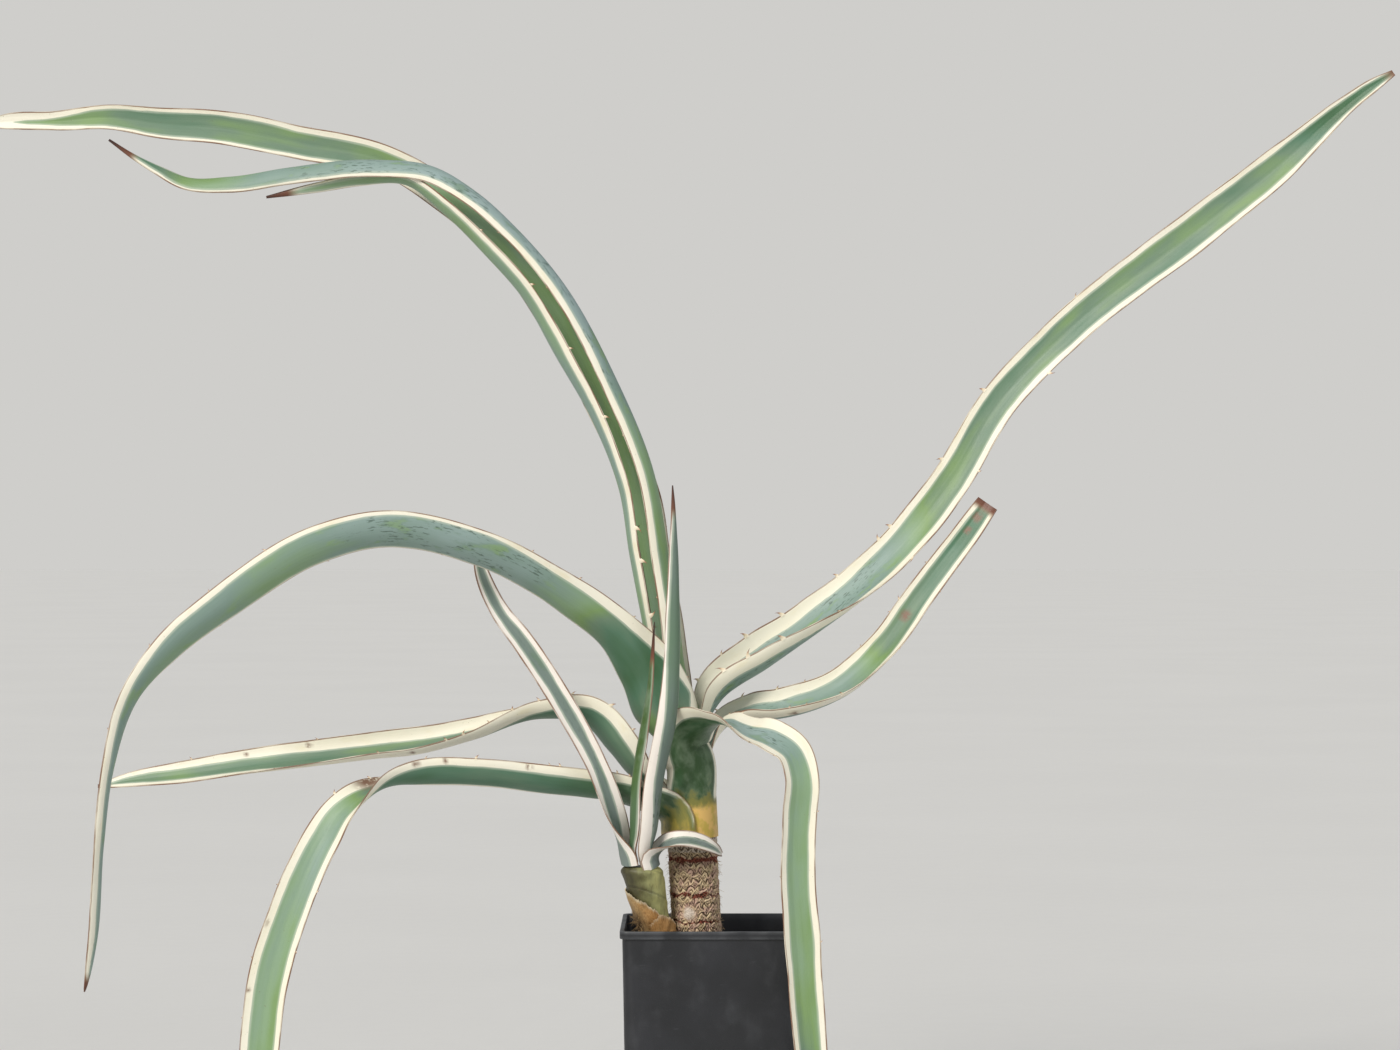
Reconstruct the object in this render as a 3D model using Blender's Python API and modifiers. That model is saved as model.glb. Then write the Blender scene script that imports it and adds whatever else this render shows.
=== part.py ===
"""A variegated agave with a bare scarred trunk and a young offset, growing in a tall square plastic pot.

Metres, +Z up. The origin is the middle of the pot's underside. -Y is the front of the plant.
Leaves are gutter-shaped blades: a route for the midrib, with the blade's width, the way its channel
faces and how far its section curls at each station of the route.
"""

import math

import bmesh
import bpy
import numpy as np

# Pot: a tall square grower's pot with a rim band, rounder corners at the foot than at the top.
POT_HEIGHT = 0.280
POT_RIM_HALF = 0.103
POT_RIM_HEIGHT = 0.0085
POT_TOP_HALF = 0.1003
POT_FOOT_HALF = 0.0955
POT_WALL = 0.0022
POT_FLOOR = 0.0030
POT_TOP_CORNER = 0.010
POT_FOOT_CORNER = 0.018
POT_FOOT_BEVEL = 0.0025
POT_CORNER_STEPS = 4
DRAIN_RADIUS = 0.006
DRAIN_FROM_MIDDLE = 0.055
DRAIN_SIDES = 12

# Potting mix: fills the pot to 24 mm below the rim.
MIX_TOP = 0.256
CLEARANCE = 0.0003

# Trunk and offset stem.
TRUNK_FOOT = (-0.0148, 0.0, 0.170)
TRUNK_LEAN = -0.052  # metres sideways for each metre up
TRUNK_RADIUS = 0.0264
TRUNK_SIDES_RESOLUTION = 5
WELD = 0.00005
# How the hidden top of the trunk narrows inside the leaf bases: height, radius.
CROWN_TAPER = (
    (0.375, 0.0264),
    (0.388, 0.0222),
    (0.408, 0.0187),
    (0.428, 0.0149),
    (0.452, 0.0110),
    (0.474, 0.0040),
)
OFFSET_FOOT = (-0.0560, -0.0140, 0.205)
OFFSET_SOIL = (-0.0625, -0.0200, 0.262)
OFFSET_TOP = (-0.0794, -0.0337, 0.338)
OFFSET_FOOT_RADIUS = 0.013
OFFSET_SOIL_RADIUS = 0.0150
OFFSET_TOP_RADIUS = 0.0210

# Leaves.
BLADE_THICKNESS = 0.0024
YOUNG_THICKNESS = 0.0016
ACROSS_BLADE = 6
ACROSS_YOUNG = 4
STEPS_PER_STATION = 2
SHEATH_STEP = 0.5  # a sheath's middle station, as a share of its height

# Papery sheath on the offset.
SHEATH_GAP = 0.0024
SHEATH_THICKNESS = 0.0012
SHEATH_FLARE = 0.0015
SHEATH_BOTTOM = 0.2625
SHEATH_LOW = 0.284  # the height of its slanting edge at the right
SHEATH_HIGH = 0.318  # and at the left
SHEATH_FACES = 215  # degrees
SHEATH_SPAN = 300
SHEATH_AROUND = 16
SHEATH_UP = 4

LEFT = 1
RIGHT = -1

GREEN = (0.22, 0.34, 0.24)
BLUE_GREEN = (0.26, 0.36, 0.32)
BARK = (0.36, 0.25, 0.17)
HUSK = (0.50, 0.34, 0.18)
CHARCOAL = (0.025, 0.026, 0.030)
SOIL = (0.06, 0.04, 0.025)

# Each station of a route: midrib x, y, z, blade width measured along its curve, the turn of the
# channel in degrees (0 faces up or towards the stem, 90 faces the front, -90 the back, 180 down),
# and the curl of the section in degrees from the midrib to each margin.
# A sheath: azimuth on the stem in degrees, radius, curl, bottom height, top height.
LEAVES = {
    "leaf_upright_front": {
        "side": LEFT,
        "sheath": (-20, 0.0138, 60, 0.458, 0.480),
        "route": (
            (-0.019, -0.005, 0.512, 0.038, 200, 60),
            (-0.034, -0.004, 0.554, 0.050, 194, 63),
            (-0.042, -0.003, 0.613, 0.054, 190, 66),
            (-0.053, -0.002, 0.684, 0.053, 188, 66),
            (-0.070, -0.002, 0.777, 0.051, 188, 64),
            (-0.110, -0.002, 0.876, 0.051, 188, 64),
            (-0.172, -0.002, 0.987, 0.047, 190, 62),
            (-0.218, -0.002, 1.040, 0.044, 194, 60),
            (-0.265, -0.003, 1.082, 0.042, 200, 58),
            (-0.311, -0.004, 1.108, 0.039, 208, 56),
            (-0.376, -0.006, 1.114, 0.034, 218, 52),
            (-0.471, -0.008, 1.104, 0.030, 225, 48),
            (-0.533, -0.009, 1.094, 0.026, 228, 45),
            (-0.584, -0.010, 1.095, 0.019, 228, 42),
            (-0.612, -0.010, 1.108, 0.013, 228, 40),
            (-0.638, -0.010, 1.122, 0.007, 228, 40),
            (-0.665, -0.010, 1.140, 0.003, 228, 40),
        ),
    },
    "leaf_upright_inner": {
        "side": LEFT,
        "sheath": (200, 0.0138, 45, 0.458, 0.480),
        "route": (
            (-0.055, -0.004, 0.510, 0.034, -12, 55),
            (-0.068, -0.003, 0.555, 0.038, -5, 50),
            (-0.079, -0.003, 0.616, 0.042, 0, 50),
            (-0.092, -0.002, 0.684, 0.045, 0, 52),
            (-0.104, -0.002, 0.757, 0.043, -4, 50),
            (-0.134, -0.002, 0.834, 0.045, -8, 52),
            (-0.173, -0.002, 0.903, 0.049, -12, 54),
            (-0.213, -0.002, 0.972, 0.047, -12, 53),
            (-0.250, -0.002, 1.014, 0.042, -14, 54),
            (-0.298, -0.002, 1.062, 0.034, -18, 50),
            (-0.340, -0.003, 1.094, 0.021, -30, 46),
            (-0.392, -0.004, 1.095, 0.015, -60, 40),
            (-0.439, -0.005, 1.087, 0.011, -70, 36),
            (-0.493, -0.005, 1.077, 0.003, -70, 36),
        ),
    },
    "leaf_upright_long": {
        "side": LEFT,
        "sheath": (112, 0.0138, 40, 0.460, 0.480),
        "route": (
            (-0.038, 0.026, 0.515, 0.028, 75, 40),
            (-0.050, 0.036, 0.580, 0.038, 83, 38),
            (-0.066, 0.044, 0.660, 0.042, 83, 34),
            (-0.085, 0.046, 0.760, 0.042, 83, 32),
            (-0.128, 0.046, 0.860, 0.042, 82, 30),
            (-0.182, 0.046, 0.955, 0.042, 80, 30),
            (-0.238, 0.048, 1.030, 0.040, 80, 30),
            (-0.290, 0.050, 1.074, 0.038, 80, 30),
            (-0.361, 0.052, 1.120, 0.034, 85, 28),
            (-0.461, 0.055, 1.142, 0.038, 85, 28),
            (-0.557, 0.056, 1.160, 0.038, 85, 28),
            (-0.617, 0.056, 1.164, 0.035, 85, 28),
            (-0.675, 0.056, 1.171, 0.028, 85, 28),
            (-0.733, 0.056, 1.167, 0.021, 85, 28),
            (-0.790, 0.056, 1.166, 0.017, 85, 28),
            (-0.808, 0.056, 1.164, 0.009, 85, 28),
        ),
    },
    "leaf_arching_left": {
        "side": LEFT,
        "sheath": (228, 0.0213, 80, 0.412, 0.455),
        "route": (
            (-0.060, -0.022, 0.512, 0.088, -72, 58),
            (-0.077, -0.026, 0.554, 0.078, -70, 48),
            (-0.104, -0.036, 0.592, 0.060, -66, 42),
            (-0.165, -0.060, 0.641, 0.049, -64, 36),
            (-0.258, -0.100, 0.691, 0.045, -64, 34),
            (-0.354, -0.125, 0.710, 0.045, -65, 34),
            (-0.428, -0.145, 0.692, 0.045, -65, 34),
            (-0.515, -0.160, 0.636, 0.044, -60, 36),
            (-0.577, -0.170, 0.585, 0.039, -50, 40),
            (-0.614, -0.180, 0.535, 0.035, -30, 46),
            (-0.634, -0.190, 0.466, 0.036, -5, 55),
            (-0.645, -0.192, 0.380, 0.036, 5, 55),
            (-0.652, -0.192, 0.280, 0.032, 5, 55),
            (-0.658, -0.192, 0.248, 0.020, 5, 50),
            (-0.664, -0.192, 0.226, 0.004, 5, 40),
        ),
    },
    "leaf_low_left": {
        "side": LEFT,
        "sheath": (170, 0.0250, 32, 0.392, 0.425),
        "route": (
            (-0.086, -0.004, 0.438, 0.068, -12, 60),
            (-0.113, -0.006, 0.470, 0.084, -20, 66),
            (-0.140, -0.004, 0.501, 0.072, -26, 60),
            (-0.190, 0.000, 0.506, 0.056, -12, 66),
            (-0.265, 0.005, 0.484, 0.052, 20, 74),
            (-0.330, 0.010, 0.469, 0.056, 32, 78),
            (-0.371, 0.013, 0.465, 0.054, 34, 76),
            (-0.445, 0.018, 0.457, 0.048, 40, 68),
            (-0.522, 0.025, 0.449, 0.040, 46, 56),
            (-0.598, 0.030, 0.439, 0.030, 52, 42),
            (-0.652, 0.033, 0.433, 0.018, 55, 32),
            (-0.684, 0.035, 0.427, 0.004, 55, 30),
        ),
    },
    "leaf_drooping_left": {
        "side": LEFT,
        "sheath": (215, 0.0325, 62, 0.370, 0.392),
        "route": (
            (-0.080, -0.025, 0.411, 0.058, -40, 54),
            (-0.105, -0.027, 0.421, 0.054, -42, 50),
            (-0.143, -0.030, 0.428, 0.050, -45, 48),
            (-0.181, -0.040, 0.433, 0.048, -48, 46),
            (-0.251, -0.060, 0.443, 0.044, -50, 42),
            (-0.324, -0.080, 0.443, 0.044, -40, 52),
            (-0.359, -0.090, 0.434, 0.048, 2, 66),
            (-0.384, -0.100, 0.421, 0.046, 36, 58),
            (-0.402, -0.105, 0.408, 0.042, 55, 34),
            (-0.420, -0.110, 0.381, 0.044, 70, 32),
            (-0.438, -0.115, 0.346, 0.044, 78, 32),
            (-0.454, -0.118, 0.306, 0.045, 80, 32),
            (-0.475, -0.120, 0.240, 0.046, 80, 32),
            (-0.486, -0.122, 0.157, 0.045, 80, 32),
            (-0.490, -0.122, 0.085, 0.034, 80, 32),
            (-0.492, -0.122, 0.022, 0.004, 80, 32),
        ),
    },
    "leaf_front_folded": {
        "side": RIGHT,
        "sheath": (-80, 0.0290, 70, 0.374, 0.460),
        "route": (
            (-0.030, -0.031, 0.471, 0.068, -78, 62),
            (-0.025, -0.040, 0.487, 0.072, -59, 56),
            (-0.012, -0.056, 0.499, 0.073, -30, 50),
            (0.009, -0.075, 0.503, 0.066, 0, 42),
            (0.037, -0.095, 0.493, 0.056, 26, 36),
            (0.061, -0.110, 0.486, 0.052, 40, 32),
            (0.082, -0.125, 0.472, 0.046, 55, 32),
            (0.090, -0.135, 0.448, 0.041, 65, 30),
            (0.0880, -0.138, 0.409, 0.040, 70, 30),
            (0.0865, -0.140, 0.339, 0.040, 72, 30),
            (0.091, -0.140, 0.275, 0.041, 72, 30),
            (0.095, -0.140, 0.216, 0.040, 72, 30),
            (0.100, -0.140, 0.158, 0.038, 70, 30),
            (0.106, -0.140, 0.090, 0.028, 70, 30),
            (0.112, -0.140, 0.022, 0.004, 70, 30),
        ),
    },
    "leaf_long_right": {
        "side": RIGHT,
        "sheath": (8, 0.0175, 52, 0.430, 0.485),
        "route": (
            (0.004, 0.006, 0.524, 0.078, 12, 86),
            (0.058, 0.010, 0.564, 0.090, 20, 92),
            (0.108, 0.015, 0.601, 0.077, 28, 76),
            (0.152, 0.020, 0.638, 0.062, 42, 56),
            (0.199, 0.022, 0.685, 0.051, 60, 38),
            (0.262, 0.025, 0.765, 0.046, 72, 32),
            (0.313, 0.030, 0.850, 0.043, 75, 30),
            (0.388, 0.035, 0.929, 0.044, 75, 30),
            (0.535, 0.040, 1.044, 0.047, 75, 30),
            (0.630, 0.045, 1.119, 0.040, 75, 30),
            (0.701, 0.050, 1.182, 0.022, 75, 32),
            (0.733, 0.050, 1.206, 0.015, 75, 32),
            (0.755, 0.050, 1.220, 0.006, 75, 32),
        ),
    },
    "leaf_cut_right": {
        "side": RIGHT,
        "sheath": (31, 0.0250, 36, 0.402, 0.465),
        "route": (
            (0.015, 0.012, 0.499, 0.048, 18, 70),
            (0.041, 0.002, 0.506, 0.062, 22, 82),
            (0.070, -0.010, 0.509, 0.065, 26, 82),
            (0.141, -0.012, 0.536, 0.056, 36, 66),
            (0.187, -0.012, 0.582, 0.043, 52, 46),
            (0.226, -0.012, 0.640, 0.034, 70, 32),
            (0.280, -0.012, 0.712, 0.030, 70, 30),
            (0.300, -0.012, 0.740, 0.026, 70, 28),
        ),
    },
}

# Leaves of the offset: their sheaths stand on its top, so azimuth and radius are about its own axis.
OFFSET_LEAVES = {
    "offset_leaf_left": {
        "side": LEFT,
        "sheath": (190, 0.0197, 72, 0.3465, 0.356),
        "route": (
            (-0.106, -0.042, 0.375, 0.042, 10, 64),
            (-0.113, -0.048, 0.405, 0.032, 45, 50),
            (-0.123, -0.054, 0.440, 0.026, 70, 40),
            (-0.168, -0.055, 0.527, 0.026, 80, 35),
            (-0.211, -0.048, 0.592, 0.024, 80, 35),
            (-0.235, -0.043, 0.623, 0.021, 80, 35),
            (-0.255, -0.040, 0.667, 0.015, 80, 35),
            (-0.262, -0.038, 0.700, 0.003, 80, 35),
        ),
    },
    "offset_leaf_upright": {
        "side": RIGHT,
        "sheath": (-15, 0.0135, 72, 0.3465, 0.356),
        "route": (
            (-0.066, -0.049, 0.385, 0.036, -28, 70),
            (-0.061, -0.063, 0.440, 0.033, -44, 66),
            (-0.048, -0.080, 0.510, 0.029, -54, 62),
            (-0.044, -0.077, 0.570, 0.024, -56, 60),
            (-0.043, -0.071, 0.640, 0.019, -52, 60),
            (-0.043, -0.067, 0.690, 0.014, -44, 60),
            (-0.044, -0.067, 0.730, 0.008, -30, 60),
            (-0.046, -0.067, 0.760, 0.002, -30, 60),
        ),
    },
    "offset_leaf_youngest": {
        "side": LEFT,
        "sheath": (180, 0.0080, 70, 0.3465, 0.356),
        "route": (
            (-0.0915, -0.043, 0.385, 0.025, -14, 64),
            (-0.089, -0.054, 0.440, 0.024, -18, 60),
            (-0.080, -0.057, 0.497, 0.022, -18, 58),
            (-0.073, -0.060, 0.540, 0.017, -14, 58),
            (-0.069, -0.061, 0.578, 0.009, -10, 58),
            (-0.066, -0.061, 0.612, 0.002, -10, 58),
        ),
    },
    "offset_leaf_wrapping": {
        "side": RIGHT,
        "sheath": (-10, 0.0200, 72, 0.3465, 0.353),
        "route": (
            (-0.057, -0.043, 0.364, 0.040, 5, 62),
            (-0.046, -0.048, 0.371, 0.030, 30, 48),
            (-0.030, -0.048, 0.373, 0.024, 45, 42),
            (-0.012, -0.044, 0.369, 0.020, 50, 40),
            (0.000, -0.036, 0.363, 0.014, 50, 40),
            (0.007, -0.024, 0.357, 0.005, 50, 40),
        ),
    },
}


def clear_scene():
    for obj in list(bpy.data.objects):
        bpy.data.objects.remove(obj, do_unlink=True)


def make_material(name, colour, roughness):
    material = bpy.data.materials.new(name)
    material.use_nodes = True
    shader = material.node_tree.nodes["Principled BSDF"]
    shader.inputs["Base Color"].default_value = (*colour, 1.0)
    shader.inputs["Roughness"].default_value = roughness
    shader.inputs["Metallic"].default_value = 0.0
    return material


def add_object(name, mesh, collection, material=None):
    obj = bpy.data.objects.new(name, mesh)
    collection.objects.link(obj)
    if material:
        mesh.materials.append(material)
    return obj


def mesh_from(bm, name):
    mesh = bpy.data.meshes.new(name)
    bmesh.ops.recalc_face_normals(bm, faces=bm.faces)
    bm.to_mesh(mesh)
    bm.free()
    return mesh


def smooth_shade(obj, angle=math.radians(40)):
    obj.data.shade_smooth()
    obj.data.set_sharp_from_angle(angle=angle)


# ---------------------------------------------------------------- pot and potting mix


def rounded_square(half, corner, height):
    """The points of a square ring with round corners, anticlockwise from the +X side's top corner."""
    points = []
    for quarter in range(4):
        middle = math.radians(45 + 90 * quarter)
        centre_x = math.copysign(half - corner, math.cos(middle))
        centre_y = math.copysign(half - corner, math.sin(middle))
        for step in range(POT_CORNER_STEPS + 1):
            angle = math.radians(90 * quarter + 90 * step / POT_CORNER_STEPS)
            x = centre_x + corner * math.cos(angle)
            y = centre_y + corner * math.sin(angle)
            points.append((x, y, height))
    return points


def loft_rings(rings):
    """A closed solid through rings of equal length, capped at both ends."""
    bm = bmesh.new()
    loops = [[bm.verts.new(point) for point in ring] for ring in rings]
    count = len(loops[0])
    for lower, upper in zip(loops, loops[1:]):
        for i in range(count):
            j = (i + 1) % count
            bm.faces.new((lower[i], lower[j], upper[j], upper[i]))
    bm.faces.new(loops[0])
    bm.faces.new(loops[-1])
    return bm


def pot_half_at(height):
    """Half the pot's outside width below the rim band."""
    share = height / (POT_HEIGHT - POT_RIM_HEIGHT)
    return POT_FOOT_HALF + (POT_TOP_HALF - POT_FOOT_HALF) * share


def pot_corner_at(height):
    share = min(height / POT_HEIGHT, 1.0)
    return POT_FOOT_CORNER + (POT_TOP_CORNER - POT_FOOT_CORNER) * share


def outer_ring(height, inset=0.0):
    return rounded_square(pot_half_at(height) - inset, pot_corner_at(height), height)


def inner_ring(height, gap=0.0):
    inset = POT_WALL + gap
    return rounded_square(pot_half_at(height) - inset, pot_corner_at(height) - inset, height)


def drain_cutter(x, y, cutters):
    bm = bmesh.new()
    bmesh.ops.create_cone(
        bm,
        cap_ends=True,
        segments=DRAIN_SIDES,
        radius1=DRAIN_RADIUS,
        radius2=DRAIN_RADIUS,
        depth=POT_FLOOR * 4,
    )
    cutter = add_object("drain_cutter", mesh_from(bm, "drain_cutter"), cutters)
    cutter.location = (x, y, POT_FLOOR / 2)
    hide_cutter(cutter)
    return cutter


def hide_cutter(obj):
    obj.hide_render = True
    obj.display_type = "WIRE"


def cut(obj, cutter):
    modifier = obj.modifiers.new("cut", "BOOLEAN")
    modifier.operation = "DIFFERENCE"
    modifier.solver = "EXACT"
    modifier.object = cutter


def build_pot(parts, cutters):
    under_rim = POT_HEIGHT - POT_RIM_HEIGHT
    rim_inner = POT_TOP_HALF - POT_WALL
    rings = [
        outer_ring(0.0, POT_FOOT_BEVEL),
        outer_ring(POT_FOOT_BEVEL),
        outer_ring(under_rim),
        rounded_square(POT_RIM_HALF, POT_TOP_CORNER, under_rim),
        rounded_square(POT_RIM_HALF, POT_TOP_CORNER, POT_HEIGHT),
        rounded_square(rim_inner, POT_TOP_CORNER - POT_WALL, POT_HEIGHT),
        inner_ring(under_rim),
        inner_ring(POT_FLOOR),
    ]
    mesh = mesh_from(loft_rings(rings), "pot")
    pot = add_object("pot", mesh, parts, make_material("charcoal_plastic", CHARCOAL, 0.45))
    for x in (-DRAIN_FROM_MIDDLE, DRAIN_FROM_MIDDLE):
        for y in (-DRAIN_FROM_MIDDLE, DRAIN_FROM_MIDDLE):
            cut(pot, drain_cutter(x, y, cutters))
    return pot


def build_mix(parts, cutters, sockets):
    rings = [inner_ring(POT_FLOOR + CLEARANCE, CLEARANCE), inner_ring(MIX_TOP, CLEARANCE)]
    mesh = mesh_from(loft_rings(rings), "potting_mix")
    mix = add_object("potting_mix", mesh, parts, make_material("potting_mix", SOIL, 0.95))
    for socket in sockets:
        cut(mix, socket)
    return mix


# ---------------------------------------------------------------- stems


def trunk_axis(height):
    x, y, z = TRUNK_FOOT
    return (x + TRUNK_LEAN * (height - z), y, height)


def offset_axis(height):
    share = (height - OFFSET_SOIL[2]) / (OFFSET_TOP[2] - OFFSET_SOIL[2])
    x = OFFSET_SOIL[0] + (OFFSET_TOP[0] - OFFSET_SOIL[0]) * share
    y = OFFSET_SOIL[1] + (OFFSET_TOP[1] - OFFSET_SOIL[1]) * share
    return (x, y, height)


def stem_curve(name, stations, collection, grow=0.0):
    """A round stem through stations of (x, y, z, radius), as a mesh with welded caps."""
    curve = bpy.data.curves.new(name, "CURVE")
    curve.dimensions = "3D"
    curve.bevel_depth = 1.0
    curve.bevel_resolution = TRUNK_SIDES_RESOLUTION
    curve.use_fill_caps = True
    spline = curve.splines.new("POLY")
    spline.points.add(len(stations) - 1)
    for point, (x, y, z, radius) in zip(spline.points, stations):
        point.co = (x, y, z, 1.0)
        point.radius = radius + grow
    holder = bpy.data.objects.new(name, curve)
    collection.objects.link(holder)
    evaluated = holder.evaluated_get(bpy.context.evaluated_depsgraph_get())
    mesh = bpy.data.meshes.new_from_object(evaluated)
    mesh.name = name
    bpy.data.objects.remove(holder, do_unlink=True)
    bpy.data.curves.remove(curve)
    bm = bmesh.new()
    bm.from_mesh(mesh)
    bmesh.ops.remove_doubles(bm, verts=bm.verts, dist=WELD)
    bmesh.ops.recalc_face_normals(bm, faces=bm.faces)
    bm.to_mesh(mesh)
    bm.free()
    return add_object(name, mesh, collection)


def trunk_stations():
    stations = [(*TRUNK_FOOT, TRUNK_RADIUS)]
    stations += [(*trunk_axis(height), radius) for height, radius in CROWN_TAPER]
    return stations


def offset_stations():
    return [
        (*OFFSET_FOOT, OFFSET_FOOT_RADIUS),
        (*OFFSET_SOIL, OFFSET_SOIL_RADIUS),
        (*OFFSET_TOP, OFFSET_TOP_RADIUS),
    ]


def build_stem(name, stations, colour, parts, cutters):
    """A stem and the socket it stands in, a hair wider and longer than itself."""
    stem = stem_curve(name, stations, parts)
    stem.data.materials.append(make_material(name, colour, 0.8))
    smooth_shade(stem)
    x, y, z, radius = stations[0]
    deeper = [(x, y, z - CLEARANCE, radius), *stations[1:]]
    socket = stem_curve(name + "_socket", deeper, cutters, CLEARANCE * 2)
    hide_cutter(socket)
    return stem, socket


# ---------------------------------------------------------------- leaves


def clasp(leaf, axis):
    """Stations where a leaf's base wraps its stem, from its sheath's five numbers."""
    azimuth, radius, curl, bottom, top = leaf["sheath"]
    turn = 180 - azimuth if leaf["side"] == LEFT else azimuth
    width = 2 * radius * math.radians(curl)
    stations = []
    for height in (bottom, bottom + (top - bottom) * SHEATH_STEP, top):
        x, y, z = axis(height)
        x += radius * math.cos(math.radians(azimuth))
        y += radius * math.sin(math.radians(azimuth))
        stations.append((x, y, z, width, turn, curl))
    return stations


def eased(rows, steps):
    """Rows along a smooth curve through every station, steps to each interval."""
    rows = np.array(rows, dtype=float)
    lengths = np.linalg.norm(np.diff(rows[:, :3], axis=0), axis=1)
    slopes = np.diff(rows, axis=0) / lengths[:, None]
    tangents = np.empty_like(rows)
    tangents[0] = slopes[0]
    tangents[-1] = slopes[-1]
    before, after = lengths[:-1, None], lengths[1:, None]
    tangents[1:-1] = (slopes[:-1] * after + slopes[1:] * before) / (before + after)
    result = []
    for i, span in enumerate(lengths):
        for step in range(steps):
            t = step / steps
            start = rows[i] * (2 * t**3 - 3 * t**2 + 1) + tangents[i] * span * (t**3 - 2 * t**2 + t)
            end = rows[i + 1] * (3 * t**2 - 2 * t**3) + tangents[i + 1] * span * (t**3 - t**2)
            result.append(start + end)
    result.append(rows[-1])
    return np.array(result)


def section_frames(points, turns, side):
    """The channel's facing direction and the width direction at each point of a midrib."""
    along = np.gradient(points, axis=0)
    along /= np.linalg.norm(along, axis=1)[:, None]
    upward = side * np.stack((along[:, 2], np.zeros(len(along)), -along[:, 0]), axis=1)
    upward /= np.linalg.norm(upward, axis=1)[:, None]
    frontward = side * np.cross(upward, along)
    cosine = np.cos(np.radians(turns))[:, None]
    sine = np.sin(np.radians(turns))[:, None]
    facing = cosine * upward + sine * frontward
    return facing, np.cross(along, facing)


def blade_point(row, facing, across, share):
    """A point of the gutter-shaped section: share runs from -1 at one margin to 1 at the other."""
    half_curl = math.radians(row[5])
    radius = row[3] / (2 * half_curl)
    angle = share * half_curl
    return row[:3] + across * radius * math.sin(angle) + facing * radius * (1 - math.cos(angle))


def build_leaf(name, leaf, axis, material, parts, thickness, across_count):
    rows = eased([*clasp(leaf, axis), *leaf["route"]], STEPS_PER_STATION)
    facing, across = section_frames(rows[:, :3], rows[:, 4], leaf["side"])
    bm = bmesh.new()
    bmesh.ops.create_grid(bm, x_segments=len(rows) - 1, y_segments=across_count, size=0.5)
    for vert in bm.verts:
        i = round((vert.co.x + 0.5) * (len(rows) - 1))
        vert.co = blade_point(rows[i], facing[i], across[i], vert.co.y * 2)
    leaf_object = add_object(name, mesh_from(bm, name), parts, material)
    shell = leaf_object.modifiers.new("thickness", "SOLIDIFY")
    shell.thickness = thickness
    shell.offset = 0.0
    smooth_shade(leaf_object)
    return leaf_object


def build_offset_sheath(parts):
    """The papery sheath round the offset's stem, its upper edge slanting down to the right."""
    bm = bmesh.new()
    bmesh.ops.create_grid(bm, x_segments=SHEATH_AROUND, y_segments=SHEATH_UP, size=0.5)
    slope = (OFFSET_TOP_RADIUS - OFFSET_SOIL_RADIUS) / (OFFSET_TOP[2] - OFFSET_SOIL[2])
    for vert in bm.verts:
        upward = vert.co.y + 0.5
        angle = math.radians(SHEATH_FACES + SHEATH_SPAN * vert.co.x)
        top = SHEATH_LOW + (SHEATH_HIGH - SHEATH_LOW) * (0.5 - 0.5 * math.cos(angle))
        height = SHEATH_BOTTOM + (top - SHEATH_BOTTOM) * upward
        x, y, z = offset_axis(height)
        flare = SHEATH_GAP + SHEATH_FLARE * upward
        radius = OFFSET_SOIL_RADIUS + slope * (height - OFFSET_SOIL[2]) + flare
        vert.co = (x + radius * math.cos(angle), y + radius * math.sin(angle), z)
    sheath = add_object(
        "offset_papery_sheath",
        mesh_from(bm, "offset_papery_sheath"),
        parts,
        make_material("dry_sheath", HUSK, 0.7),
    )
    shell = sheath.modifiers.new("thickness", "SOLIDIFY")
    shell.thickness = SHEATH_THICKNESS
    shell.offset = 0.0
    smooth_shade(sheath)
    return sheath


def build_agave():
    clear_scene()
    parts = bpy.data.collections.new("potted_agave")
    cutters = bpy.data.collections.new("cutters")
    bpy.context.scene.collection.children.link(parts)
    bpy.context.scene.collection.children.link(cutters)
    _, trunk_socket = build_stem("trunk", trunk_stations(), BARK, parts, cutters)
    _, offset_socket = build_stem("offset_stem", offset_stations(), HUSK, parts, cutters)
    build_pot(parts, cutters)
    build_mix(parts, cutters, (trunk_socket, offset_socket))
    for name, leaf in LEAVES.items():
        material = make_material(name, GREEN, 0.5)
        build_leaf(name, leaf, trunk_axis, material, parts, BLADE_THICKNESS, ACROSS_BLADE)
    for name, leaf in OFFSET_LEAVES.items():
        material = make_material(name, BLUE_GREEN, 0.5)
        build_leaf(name, leaf, offset_axis, material, parts, YOUNG_THICKNESS, ACROSS_YOUNG)
    build_offset_sheath(parts)


build_agave()
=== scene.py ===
import math

import bmesh
import bpy
import numpy as np
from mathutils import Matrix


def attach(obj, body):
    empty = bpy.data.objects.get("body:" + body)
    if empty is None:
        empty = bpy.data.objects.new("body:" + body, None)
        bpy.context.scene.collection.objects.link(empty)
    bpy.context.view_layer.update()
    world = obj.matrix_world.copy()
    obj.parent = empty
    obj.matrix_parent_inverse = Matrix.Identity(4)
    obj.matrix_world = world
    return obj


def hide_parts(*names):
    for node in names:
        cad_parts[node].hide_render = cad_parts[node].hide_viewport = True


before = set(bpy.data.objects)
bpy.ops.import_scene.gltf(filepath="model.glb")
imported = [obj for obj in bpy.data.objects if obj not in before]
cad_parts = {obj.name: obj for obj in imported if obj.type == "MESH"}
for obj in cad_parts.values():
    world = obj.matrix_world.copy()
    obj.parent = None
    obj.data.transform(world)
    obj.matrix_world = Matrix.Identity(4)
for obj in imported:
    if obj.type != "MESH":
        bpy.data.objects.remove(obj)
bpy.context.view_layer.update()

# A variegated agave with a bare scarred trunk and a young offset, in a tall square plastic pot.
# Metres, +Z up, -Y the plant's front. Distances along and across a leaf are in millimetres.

MM = 0.001

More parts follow.
